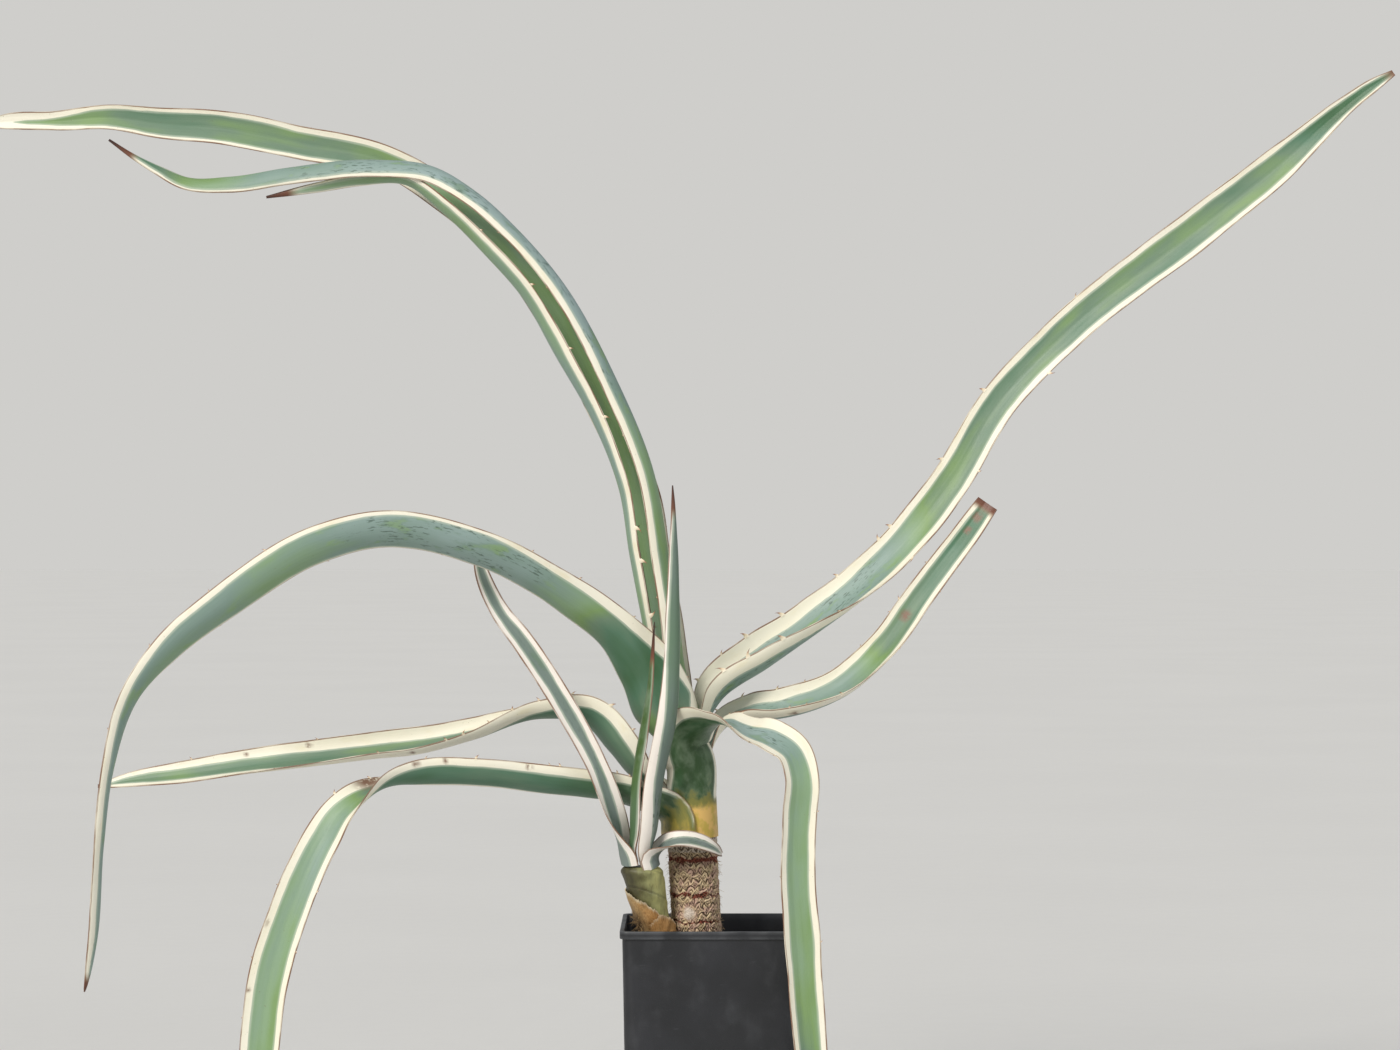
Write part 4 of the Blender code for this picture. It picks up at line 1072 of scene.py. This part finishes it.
def build_trunk(material):
    """The bare trunk: rows of torn leaf scars, fibres between them, red bands and a worn pale patch."""
    turn = np.linspace(0, 2 * math.pi, TRUNK_ROUND, endpoint=False)
    heights = np.linspace(TRUNK_LOW, TRUNK_HIGH, TRUNK_ROWS)
    angle, height = np.meshgrid(turn, heights)
    flat = np.stack((np.cos(angle) * TRUNK_RADIUS, np.sin(angle) * TRUNK_RADIUS, height), axis=2)
    flat = flat.reshape(-1, 3) / MM

    def field(wavelength, seed):
        """Seeded unevenness of the bark, with bumps about wavelength millimetres apart."""
        return wander(flat, wavelength, seed).reshape(angle.shape)

    # The scars lie like bricks: across (-0.5 to 0.5) and up (0 to 1) place a point in its scar.
    level = height / MM / SCAR_ROW + 0.22 * field(18.0, 3)
    round_ = angle / (2 * math.pi) * SCARS_ROUND + 0.24 * field(11.0, 4)
    row = np.floor(level)
    across = (round_ + 0.5 * (row % 2)) % 1 - 0.5
    up = level % 1
    # Dark creases follow each scar's pointed top and its sides, with finer fibre lines between them;
    # their darkness is partly painted shade in the grooves.
    roof = np.abs((up + 1.25 * np.abs(across) + 0.5) % 1 - 0.5)
    crease = np.exp(-((roof / 0.11) ** 2))
    side_line = np.exp(-(((0.5 - np.abs(across)) / 0.07) ** 2)) * (up > 0.25)
    crease = np.clip(np.maximum(crease, 0.8 * side_line) * (0.95 + 0.3 * field(9.0, 5)), 0, 1)
    fibres = np.sin((up + 1.25 * np.abs(across)) * 2 * math.pi * 2 + 1.0 * field(7.0, 6))
    crease = np.clip(np.maximum(crease, 0.9 * np.clip(-fibres - 0.55, 0, 0.35) / 0.35), 0, 1)
    # Dried red bands go round the trunk, and the bark is pale under the crown and at the worn patch.
    band = np.zeros_like(height)
    for middle, half in RED_BANDS:
        away = np.abs(height - middle - 0.0022 * field(16.0, 7) - 0.001 * field(5.0, 17)) / half
        away += 0.35 + 0.45 * field(13.0, 18)
        band = np.maximum(band, np.clip(1.5 - away, 0, 1))
    pale = np.clip((height - 0.355) / 0.006, 0, 1)
    turned = np.arctan2(np.sin(angle - PATCH_ANGLE), np.cos(angle - PATCH_ANGLE))
    away = np.hypot(turned * TRUNK_RADIUS, height - PATCH_HEIGHT)
    patch = np.clip(1.5 - away / PATCH_RADIUS, 0, 1)
    pale = np.maximum(pale, patch * 0.8)
    calm = 1 - 0.75 * patch
    # Relief in millimetres: deep creases, raised fibres, and lumps of three sizes.
    relief = -1.5 * crease * calm + 0.32 * fibres * (1 - crease) * calm
    relief += 0.55 * field(12.0, 8) + 0.22 * field(2.6, 9) + 0.12 * field(1.3, 10) - 0.5 * band + 0.6
    radius = TRUNK_RADIUS + relief * MM
    axis_x = TRUNK_FOOT[0] + TRUNK_LEAN * (height - TRUNK_FOOT[2])
    points = np.stack((axis_x + radius * np.cos(angle), radius * np.sin(angle), height), axis=2)
    values = np.stack((crease * calm, band, pale), axis=2)
    crown = []
    for high, size in CROWN:
        x = trunk_axis(high)[0]
        ring = (x + size * np.cos(turn), size * np.sin(turn), np.full(TRUNK_ROUND, high))
        crown.append(np.stack(ring, axis=1))
    points = np.concatenate((points, np.array(crown)))
    values = np.concatenate((values, np.tile((0.2, 0.0, 0.8), (len(crown), TRUNK_ROUND, 1))))
    faces = tube_faces(TRUNK_ROWS + len(crown), TRUNK_ROUND)
    points, scar = points.reshape(-1, 3), {"scar": values.reshape(-1, 3)}
    return piece_from("trunk_bark", points, faces, material, "trunk", scar, 60)


TRUNK_FIBRES = 760
FOOT_FIBRES = 150
LEAF_SCRAPS = 26


def strand(gathered, start, direction, length, width, bend, value):
    """A thin tapering fibre of three sides."""
    direction = direction / np.linalg.norm(direction)
    side = np.cross(direction, (0.0, 0.0, 1.0))
    side /= np.linalg.norm(side) + 1e-9
    up = np.cross(side, direction)
    rings = []
    for t in (0.0, 0.35, 0.7, 1.0):
        centre = start + direction * length * t + bend * length * t**2
        size = width * (1 - 0.75 * t)
        rings.append([centre + (side * math.cos(a) + up * math.sin(a)) * size for a in (0.0, 2.1, 4.2)])
    gathered.rings(rings, [value] * 4)


def build_trunk_fibres(material):
    """Frayed fibre ends standing out of the leaf scars."""
    random = np.random.default_rng(12)
    fibres = Gathered()
    for _ in range(TRUNK_FIBRES):
        angle = random.uniform(0, 2 * math.pi)
        height = random.uniform(0.262, 0.366)
        x = trunk_axis(height)[0]
        radial = np.array((math.cos(angle), math.sin(angle), 0.0))
        start = np.array((x, 0.0, height)) + radial * (TRUNK_RADIUS - 0.0006)
        direction = radial * random.uniform(0.25, 0.9) + np.array((0, 0, random.uniform(-1.1, 0.5)))
        direction += np.array((-radial[1], radial[0], 0)) * random.uniform(-0.8, 0.8)
        sideways = random.uniform(-0.3, 0.3), random.uniform(-0.3, 0.3)
        bend = np.array((*sideways, random.uniform(-0.6, 0.1)))
        length = random.uniform(0.002, 0.0075)
        strand(fibres, start, direction, length, 0.0003, bend, (0.45, random.uniform(0, 0.5), 0.0))
    values = {"paper": fibres.values}
    return piece_from("trunk_fibres", fibres.points, fibres.faces, material, None, values)


STEM_ROUND = 180
STEM_ROWS = 110
STEM_HIGH = 0.3445


def build_offset_stem(material):
    """The offset's stem: bases of its first leaves clasping it, each overlapping the one above."""
    turn = np.linspace(0, 2 * math.pi, STEM_ROUND, endpoint=False)
    heights = np.linspace(TRUNK_LOW, STEM_HIGH, STEM_ROWS)
    angle, height = np.meshgrid(turn, heights)
    flat = np.stack((np.cos(angle) * 18, np.sin(angle) * 18, height / MM), axis=2).reshape(-1, 3)
    share = (height - OFFSET_SOIL[2]) / (OFFSET_TOP[2] - OFFSET_SOIL[2])
    radius = OFFSET_SOIL_RADIUS + (OFFSET_TOP_RADIUS - OFFSET_SOIL_RADIUS) * np.minimum(share, 1.0)
    radius += 0.0022 * np.clip(share, 0, 1)
    radius -= 0.0048 * np.clip((height - 0.338) / 0.0065, 0, 1) ** 2
    slope = (height - 0.262) / MM + 9 * np.cos(angle - 0.6)
    lap = (slope / 27.0 + 0.1) % 1
    radius += 0.0007 * (lap - 0.5) + 0.00035 * wander(flat, 14.0, 21).reshape(angle.shape)
    points = np.stack(
        (
            OFFSET_SOIL[0] + (OFFSET_TOP[0] - OFFSET_SOIL[0]) * share + radius * np.cos(angle),
            OFFSET_SOIL[1] + (OFFSET_TOP[1] - OFFSET_SOIL[1]) * share + radius * np.sin(angle),
            height,
        ),
        axis=2,
    )
    # Painted light: lighter on the right, darker on the left, with a band of painted shade just above
    # the edge of each overlapping leaf base.
    light = 0.34 + 0.6 * np.cos(angle - math.radians(345)) - 0.15 * (lap < 0.12)
    points, values = points.reshape(-1, 3), {"light": light.ravel()}
    faces = tube_faces(STEM_ROWS, STEM_ROUND)
    return piece_from("offset_stem_skin", points, faces, material, "offset_stem", values)


def curved_sheet(around, upward, place, thickness):
    """A thin closed sheet: place gives the middle surface, the way out and three values at a point."""
    outer, inner, values = [], [], []
    for j in range(upward + 1):
        for i in range(around + 1):
            point, out, value = place(i / around, j / upward)
            outer.append(point + out * thickness / 2)
            inner.append(point - out * thickness / 2)
            values.append(value)
    count = around + 1
    size = count * (upward + 1)
    faces = ring_faces(upward + 1, count, 0, closed=False)
    faces += [tuple(k + size for k in reversed(face)) for face in faces]
    border = [*range(around + 1)]
    border += [j * count + around for j in range(1, upward + 1)]
    border += [upward * count + i for i in range(around - 1, -1, -1)]
    border += [j * count for j in range(upward - 1, 0, -1)]
    for a, b in zip(border, border[1:] + border[:1]):
        faces.append((a, b, b + size, a + size))
    return outer + inner, faces, values + values


SHEATH_FACES = 215  # degrees: where the middle of the sheath faces
SHEATH_SPAN = 300  # degrees round the stem
SHEATH_FOOT = 0.2585


def build_papery_sheath(material):
    """The torn dry sheath round the offset's foot, with a curled flap low at its right."""
    jag = np.random.default_rng(31).uniform(-1, 1, 140)
    slope = (OFFSET_TOP_RADIUS - OFFSET_SOIL_RADIUS) / (OFFSET_TOP[2] - OFFSET_SOIL[2])

    def about(angle, height, stand):
        """A point that stands off the offset's stem, and the way out there."""
        x, y, _ = offset_axis(height)
        radius = OFFSET_SOIL_RADIUS + slope * (height - OFFSET_SOIL[2]) + stand
        out = np.array((math.cos(angle), math.sin(angle), 0.0))
        return np.array((x, y, height)) + out * radius, out

    def wrinkle(angle, height, seed):
        """Seeded unevenness of the dry sheet, drawn out along the stem."""
        place = np.array([[math.cos(angle) * 17, math.sin(angle) * 17, height / MM * 0.45]])
        return float(wander(place, 7.0, seed)[0])

    def sheath(u, v):
        """The sheath at shares u round and v up: its point, the way out, and rim, warm and dark."""
        angle = math.radians(SHEATH_FACES + SHEATH_SPAN * (u - 0.5))
        top = 0.284 + 0.034 * (0.5 - 0.5 * math.cos(angle))
        ragged = 0.0016 * jag[int(u * 119)] + 0.0022 * wrinkle(angle, 0.0, 33)
        height = SHEATH_FOOT + (top + ragged - SHEATH_FOOT) * v
        stand = 0.0020 + 0.0012 * v + 0.0009 * wrinkle(angle, height, 34) + 0.0012 * v**6
        point, out = about(angle, height, stand)
        warm = 0.35 + 0.6 * max(0.0, math.cos(angle - math.radians(300)))
        # Darker towards the foot and on the left side.
        dark = max(0.0, 0.95 * math.cos(angle - math.radians(205))) * (1 - v) ** 0.5
        return point, out, (max(0.0, (v - 0.9) / 0.1), warm, dark)

    def flap(u, v):
        """The same for the curled flap."""
        angle = math.radians(262 + 78 * u)
        height = SHEATH_FOOT + v * (0.033 - 0.010 * (2 * u - 1) ** 2 + 0.0014 * jag[int(u * 60)])
        stand = 0.0050 + 0.0018 * v + 0.0008 * wrinkle(angle, height, 35) + 0.002 * (2 * u - 1) ** 4
        point, out = about(angle, height, stand)
        return point, out, (max(0.0, (v - 0.86) / 0.14) * 0.6, 0.95, 0.15 * (1 - v))

    points, faces, values = curved_sheet(120, 26, sheath, 0.0009)
    more, more_faces, more_values = curved_sheet(44, 18, flap, 0.0008)
    faces += [tuple(k + len(points) for k in f) for f in more_faces]
    return piece_from(
        "offset_papery_sheath_torn",
        points + more,
        faces,
        material,
        "offset_papery_sheath",
        {"paper": values + more_values},
        60,
    )


def build_dry_bits(material):
    """Frayed fibres at the offset's foot and straw-like scraps of old leaf lying on the mix."""
    random = np.random.default_rng(41)
    bits = Gathered()
    for _ in range(FOOT_FIBRES):
        angle = math.radians(random.uniform(165, 262))
        height = random.uniform(SHEATH_FOOT, 0.292)
        x, y, _ = offset_axis(height)
        radial = np.array((math.cos(angle), math.sin(angle), 0.0))
        start = np.array((x, y, height)) + radial * 0.0185
        sideways = random.uniform(-0.4, 0.4), random.uniform(-0.4, 0.4)
        direction = radial * 0.35 + np.array((*sideways, random.uniform(-1, 0.9)))
        length = random.uniform(0.004, 0.011)
        value = (0.0, 0.2, random.uniform(0.1, 0.9))
        strand(bits, start, direction, length, 0.0004, radial * 0.2, value)
    for _ in range(LEAF_SCRAPS):
        x, y = random.uniform(-0.085, -0.028), random.uniform(-0.072, -0.046)
        heading = random.uniform(0, math.pi)
        direction = np.array((math.cos(heading), 0.4 * math.sin(heading), random.uniform(0.02, 0.3)))
        start = np.array((x, y, MIX_TOP + random.uniform(0.001, 0.006)))
        length = random.uniform(0.012, 0.024)
        strand(bits, start, direction, length, 0.0011, np.array((0, 0, 0.05)), (0.75, 0.3, 0.0))
    values = {"paper": bits.values}
    return piece_from("dry_leaf_scraps", bits.points, bits.faces, material, None, values)


# ---------------------------------------------------------------- pot and potting mix

WALL_BOW = 0.0012
CORNER_STEPS = 7
SIDE_STEPS = 12


def square_ring(half, corner, height, bow=0.0):
    """Points of a square ring with round corners; bow swells the middle of each side outward."""
    points = []
    for quarter in range(4):
        start = math.radians(90 * quarter)
        middle = start + math.radians(45)
        reach = half - corner
        x, y = math.copysign(reach, math.cos(middle)), math.copysign(reach, math.sin(middle))
        for step in range(CORNER_STEPS + 1):
            angle = start + math.radians(90 * step / CORNER_STEPS)
            points.append((x + corner * math.cos(angle), y + corner * math.sin(angle), height))
        after = start + math.radians(90)
        out = (math.cos(after), math.sin(after))
        along = (-math.sin(after), math.cos(after))
        for step in range(1, SIDE_STEPS):
            place = reach * (2 * step / SIDE_STEPS - 1)
            swell = half + bow * (1 - (place / reach) ** 2)
            points.append((out[0] * swell + along[0] * place, out[1] * swell + along[1] * place, height))
    return points


def pot_half_at(height):
    """Half the pot's outside width at a height."""
    share = height / (POT_HEIGHT - POT_RIM_HEIGHT)
    return POT_FOOT_HALF + (POT_TOP_HALF - POT_FOOT_HALF) * share


def pot_corner_at(height):
    """Radius of the pot's corners at a height."""
    return POT_FOOT_CORNER + (POT_TOP_CORNER - POT_FOOT_CORNER) * min(height / POT_HEIGHT, 1.0)


def pot_bow_at(height):
    """How far the middle of each side swells outward at a height."""
    return WALL_BOW * math.sin(math.pi * height / (POT_HEIGHT - POT_RIM_HEIGHT)) ** 1.5


def drill_drain(pot, x, y):
    """Cuts one drainage hole through the pot's floor."""
    drill = bmesh.new()
    radii = {"radius1": DRAIN_RADIUS, "radius2": DRAIN_RADIUS}
    bmesh.ops.create_cone(drill, cap_ends=True, segments=32, depth=4 * POT_FLOOR, **radii)
    tool_mesh = bpy.data.meshes.new("drain_tool")
    drill.to_mesh(tool_mesh)
    drill.free()
    tool = bpy.data.objects.new("drain_tool", tool_mesh)
    bpy.context.scene.collection.objects.link(tool)
    tool.location = (x, y, POT_FLOOR / 2)
    hole = pot.modifiers.new("drain", "BOOLEAN")
    hole.operation = "DIFFERENCE"
    hole.solver = "EXACT"
    hole.object = tool
    evaluated = pot.evaluated_get(bpy.context.evaluated_depsgraph_get())
    cut = bpy.data.meshes.new_from_object(evaluated)
    pot.modifiers.remove(hole)
    pot.data = cut
    bpy.data.objects.remove(tool)


def build_pot(material):
    """The moulded pot: rounded foot, slightly bowed walls, rim band with worn edges, hollow inside."""
    under = POT_HEIGHT - POT_RIM_HEIGHT
    rings, wear = [], []

    def ring(half, corner, height, worn=0.0, bow=0.0):
        """Adds the wall's next ring, and how worn its surface is."""
        rings.append(square_ring(half, corner, height, bow))
        wear.append(worn)

    foot = pot_half_at(0.0)
    for inset, height in ((0.0030, 0.0), (0.0012, 0.0002), (0.0003, 0.0011), (0.0, 0.0026)):
        ring(foot - inset, POT_FOOT_CORNER - inset, height, 0.6)
    wall = np.linspace(0.006, under - 0.003, 40)
    for height in wall:
        ring(pot_half_at(height), pot_corner_at(height), height, 0.0, pot_bow_at(height))
    ring(pot_half_at(under) - 0.0001, pot_corner_at(under), under - 0.0012)
    ring(pot_half_at(under) + 0.0004, pot_corner_at(under), under - 0.0002)
    rim = POT_RIM_HALF
    lip = 0.0009
    for inset, height, worn in (
        (lip, under, 0.3),
        (0.3 * lip, under + 0.3 * lip, 1.0),
        (0.0, under + lip, 0.6),
        (0.0, under + 0.5 * POT_RIM_HEIGHT, 0.0),
        (0.0, POT_HEIGHT - lip, 0.6),
        (0.3 * lip, POT_HEIGHT - 0.3 * lip, 1.0),
        (lip, POT_HEIGHT, 0.6),
    ):
        ring(rim - inset, POT_TOP_CORNER - inset, height, worn)
    inner = POT_TOP_HALF - POT_WALL
    inner_corner = POT_TOP_CORNER - POT_WALL
    for inset, height, worn in (
        (-lip, POT_HEIGHT, 0.4),
        (-0.3 * lip, POT_HEIGHT - 0.3 * lip, 0.6),
        (0.0, POT_HEIGHT - lip, 0.2),
    ):
        ring(inner - inset, inner_corner - inset, height, worn)
    for height in (*np.linspace(under, 0.012, 24), 0.006, POT_FLOOR + 0.0006):
        half, corner = pot_half_at(height) - POT_WALL, pot_corner_at(height) - POT_WALL
        ring(half, corner, height, 0.0, pot_bow_at(height))
    ring(pot_half_at(0.0) - POT_WALL - 0.0012, POT_FOOT_CORNER - POT_WALL - 0.0012, POT_FLOOR)
    count = len(rings[0])
    faces = tube_faces(len(rings), count)
    points = [point for each in rings for point in each]
    values = {"edge_wear": [worn for worn in wear for _ in range(count)]}
    pot = piece_from("pot_moulded", points, faces, material, "pot", values, 38)
    for x in (-DRAIN_FROM_MIDDLE, DRAIN_FROM_MIDDLE):
        for y in (-DRAIN_FROM_MIDDLE, DRAIN_FROM_MIDDLE):
            drill_drain(pot, x, y)


MIX_REACH = 0.091  # from the middle to where crumbs would touch the wall


def on_mix(x, y):
    """True where the top of the mix is open to the air."""
    clear_of_trunk = math.hypot(x - trunk_axis(MIX_TOP)[0], y) > TRUNK_RADIUS + 0.004
    clear_of_offset = math.hypot(x - OFFSET_SOIL[0], y - OFFSET_SOIL[1]) > OFFSET_SOIL_RADIUS + 0.009
    return clear_of_trunk and clear_of_offset and max(abs(x), abs(y)) < MIX_REACH


MIX_GAP = 0.0004
MIX_FOOT_INSET = 0.0018
MIX_RINGS = 46


def build_mix(material):
    """The bed of potting mix that fills the pot, uneven at its top."""
    low = POT_FLOOR + MIX_GAP
    foot = POT_WALL + MIX_FOOT_INSET
    rings = [square_ring(pot_half_at(low) - foot, POT_FOOT_CORNER - foot, low)]
    inset = POT_WALL + MIX_GAP
    rings.append(square_ring(pot_half_at(0.01) - inset, pot_corner_at(0.01) - POT_WALL, 0.01))
    half = pot_half_at(MIX_TOP) - inset
    corner = pot_corner_at(MIX_TOP) - POT_WALL
    for k in range(MIX_RINGS):
        share = 1 - k / MIX_RINGS
        rings.append(square_ring(half * share, corner * share, MIX_TOP))
    points = np.array(rings).reshape(-1, 3)
    count = len(rings[0])
    top = points[2 * count :]
    lumps = wander(top[:, :2], 0.022, 51) * 0.0016 + wander(top[:, :2], 0.006, 52) * 0.0007
    lumps += wander(top[:, :2], 0.0028, 53) * 0.0004
    top[:, 2] += lumps - 0.0012
    faces = tube_faces(len(rings), count)
    return piece_from("potting_mix_bed", points, faces, material, "potting_mix", None, 180)


def build_crumbs(name, material, number, sizes, flatness, seed):
    """Irregular lumps scattered over the mix, each a dented and squashed ball."""
    random = np.random.default_rng(seed)
    ball = bmesh.new()
    bmesh.ops.create_icosphere(ball, subdivisions=2, radius=1.0)
    template = np.array([v.co[:] for v in ball.verts])
    facets = [tuple(v.index for v in f.verts) for f in ball.faces]
    ball.free()
    points, faces = [], []
    placed = 0
    while placed < number:
        x, y = random.uniform(-MIX_REACH, MIX_REACH, 2)
        size = random.uniform(*sizes)
        scale = size * np.array((1.0, random.uniform(0.45, 0.9), random.uniform(*flatness)))
        turn, tip = random.uniform(0, math.pi), random.uniform(-0.35, 0.35)
        dents = int(random.integers(1, 10**6))
        if not on_mix(x, y):
            continue
        lump = template * (1 + 0.26 * wander(template, 1.3, dents, 5)[:, None])
        lump = np.round(lump * 2.6) / 2.6 * 0.45 + lump * 0.55
        lump = lump * scale
        c, s = math.cos(tip), math.sin(tip)
        lump = lump @ np.array(((c, 0, s), (0, 1, 0), (-s, 0, c))).T
        c, s = math.cos(turn), math.sin(turn)
        lump = lump @ np.array(((c, -s, 0), (s, c, 0), (0, 0, 1))).T
        lump += (x, y, MIX_TOP + scale[2] * 0.35)
        faces += [tuple(k + len(points) for k in f) for f in facets]
        points += list(lump)
        placed += 1
    return piece_from(name, points, faces, material, None, None, 50)


# ---------------------------------------------------------------- stage, lights and camera

AMBIENT = 0.42
CAMERA_PLACE = (-0.0165, -4.4, 0.717)
CAMERA_LENS = 102.857
PLANT_MIDDLE = (-0.02, -0.05, 0.62)


def build_stage():
    """A plain pale floor that reaches past every view of the plant."""
    material, tree = start_material("painted_studio_floor")
    shade = tint(tree, linear("#dad9d6"), linear("#dcdbd8"), (cells(tree, 900.0), 0.3, 0.7))
    roughness = mask(tree, (cells(tree, 40.0), 0.3, 0.7, 0.6, 0.7))
    finish_material(material, shade, roughness, cells(tree, 3.0), 0.00005)
    mesh = bpy.data.meshes.new("studio_floor")
    reach = 60.0
    corners = [(-reach, -reach, 0), (reach, -reach, 0), (reach, reach, 0), (-reach, reach, 0)]
    mesh.from_pydata(corners, [], [(0, 1, 2, 3)])
    mesh.materials.append(material)
    floor = bpy.data.objects.new("studio_floor", mesh)
    bpy.context.scene.collection.objects.link(floor)


def build_sun(name, place, breadth, strength, colour):
    """A far soft light that shines from place towards the plant, breadth degrees across."""
    light = bpy.data.lights.new(name, "SUN")
    light.angle = math.radians(breadth)
    light.energy = strength
    light.color = linear(colour)[:3]
    lamp = bpy.data.objects.new(name, light)
    bpy.context.scene.collection.objects.link(lamp)
    lamp.location = place
    way = np.array(PLANT_MIDDLE) - np.array(place)
    lamp.rotation_euler = (
        math.atan2(math.hypot(way[0], way[1]), -way[2]),
        0.0,
        math.atan2(way[1], way[0]) - math.pi / 2,
    )


def build_camera():
    """A long lens that looks straight at the plant's front."""
    camera = bpy.data.cameras.new("front_camera")
    camera.sensor_width = 36.0
    camera.lens = CAMERA_LENS
    camera.clip_end = 200.0
    holder = bpy.data.objects.new("front_camera", camera)
    bpy.context.scene.collection.objects.link(holder)
    holder.location = CAMERA_PLACE
    holder.rotation_euler = (math.radians(90), 0.0, 0.0)
    bpy.context.scene.camera = holder


def build_world():
    """An even pale surround; a camera sees it in the floor's own tone, so no horizon shows."""
    world = bpy.data.worlds.new("soft_studio")
    bpy.context.scene.world = world
    world.use_nodes = True
    tree = world.node_tree
    ambient = tree.nodes["Background"]
    ambient.inputs["Color"].default_value = linear("#f2f5f8")
    ambient.inputs["Strength"].default_value = AMBIENT
    seen = add(tree, "Background", {"Color": linear("#cfcecb"), "Strength": 1.0})
    path = add(tree, "LightPath")
    both = add(tree, "MixShader", (path.outputs["Is Camera Ray"], ambient, seen))
    tree.links.new(both.outputs[0], tree.nodes["World Output"].inputs["Surface"])


CREAMS = ("#e9e2c9", "#eeeadb", "#e1d6b0")
YOUNG_CREAMS = ("#e6ddd2", "#ebe5dc", "#dccfbf")
# Greens from fresh to a blue-grey bloom; the dark low stops also paint shade on leaf sides turned from
# the light.
BLOOM_AND_SHADE_STOPS = (
    (0.0, "#33502b"),
    (0.15, "#456a4a"),
    (0.26, "#547860"),
    (0.36, "#6b846c"),
    (0.46, "#79965f"),
    (0.56, "#829d79"),
    (0.72, "#7f968a"),
    (1.0, "#94a7a5"),
)
YOUNG_BLOOM_AND_SHADE_STOPS = (
    (0.0, "#39521f"),
    (0.2, "#486534"),
    (0.45, "#5e785e"),
    (0.7, "#6a7a71"),
    (1.0, "#7a8581"),
)


def build_plant():
    """Every piece of the plant and its pot."""
    leaf_skin = leaf_material("agave_leaf_waxed", CREAMS, BLOOM_AND_SHADE_STOPS)
    young_skin = leaf_material("agave_young_leaf_waxed", YOUNG_CREAMS, YOUNG_BLOOM_AND_SHADE_STOPS)
    horn = tooth_material()
    paper = papery_material()
    groups = (
        (TRUNK_LEAVES, trunk_axis, leaf_skin, "leaf_blade", MIDRIB_THICKNESS, 100),
        (OFFSET_LEAVES, offset_axis, young_skin, "offset_leaf", YOUNG_MIDRIB_THICKNESS, 200),
    )
    for leaves, axis, skin, slot, thickness, first_seed in groups:
        for number, (name, leaf) in enumerate(leaves.items()):
            seed = first_seed + number
            shape = build_leaf(name, leaf, axis, skin, thickness, seed)
            build_teeth(name, leaf, shape, horn, seed + 500)
    build_trunk(trunk_material())
    build_trunk_fibres(paper)
    build_offset_stem(young_stem_material())
    build_papery_sheath(paper)
    build_dry_bits(paper)
    build_pot(pot_material())
    build_mix(mix_material("composted_bark_bed", "#2e2118", "#3b2c20", "#574330", 6.0))
    bark = mix_material("broken_pine_bark", "#4a3121", "#5f4029", "#84603f", 5.0)
    grit = mix_material("volcanic_grit", "#55504a", "#6d675f", "#8f8a80", 2.5)
    build_crumbs("potting_mix_bark", bark, 300, (0.003, 0.0085), (0.2, 0.45), 61)
    build_crumbs("potting_mix_grit", grit, 260, (0.0012, 0.0030), (0.6, 0.9), 62)


build_plant()
build_stage()
build_world()
build_sun("key_light", (-2.4, -3.4, 3.6), 20.0, 2.65, "#fffbf5")
build_sun("fill_light", (3.0, -3.0, 2.0), 40.0, 0.6, "#f4f8ff")
bpy.context.scene.view_settings.view_transform = "Standard"
build_camera()
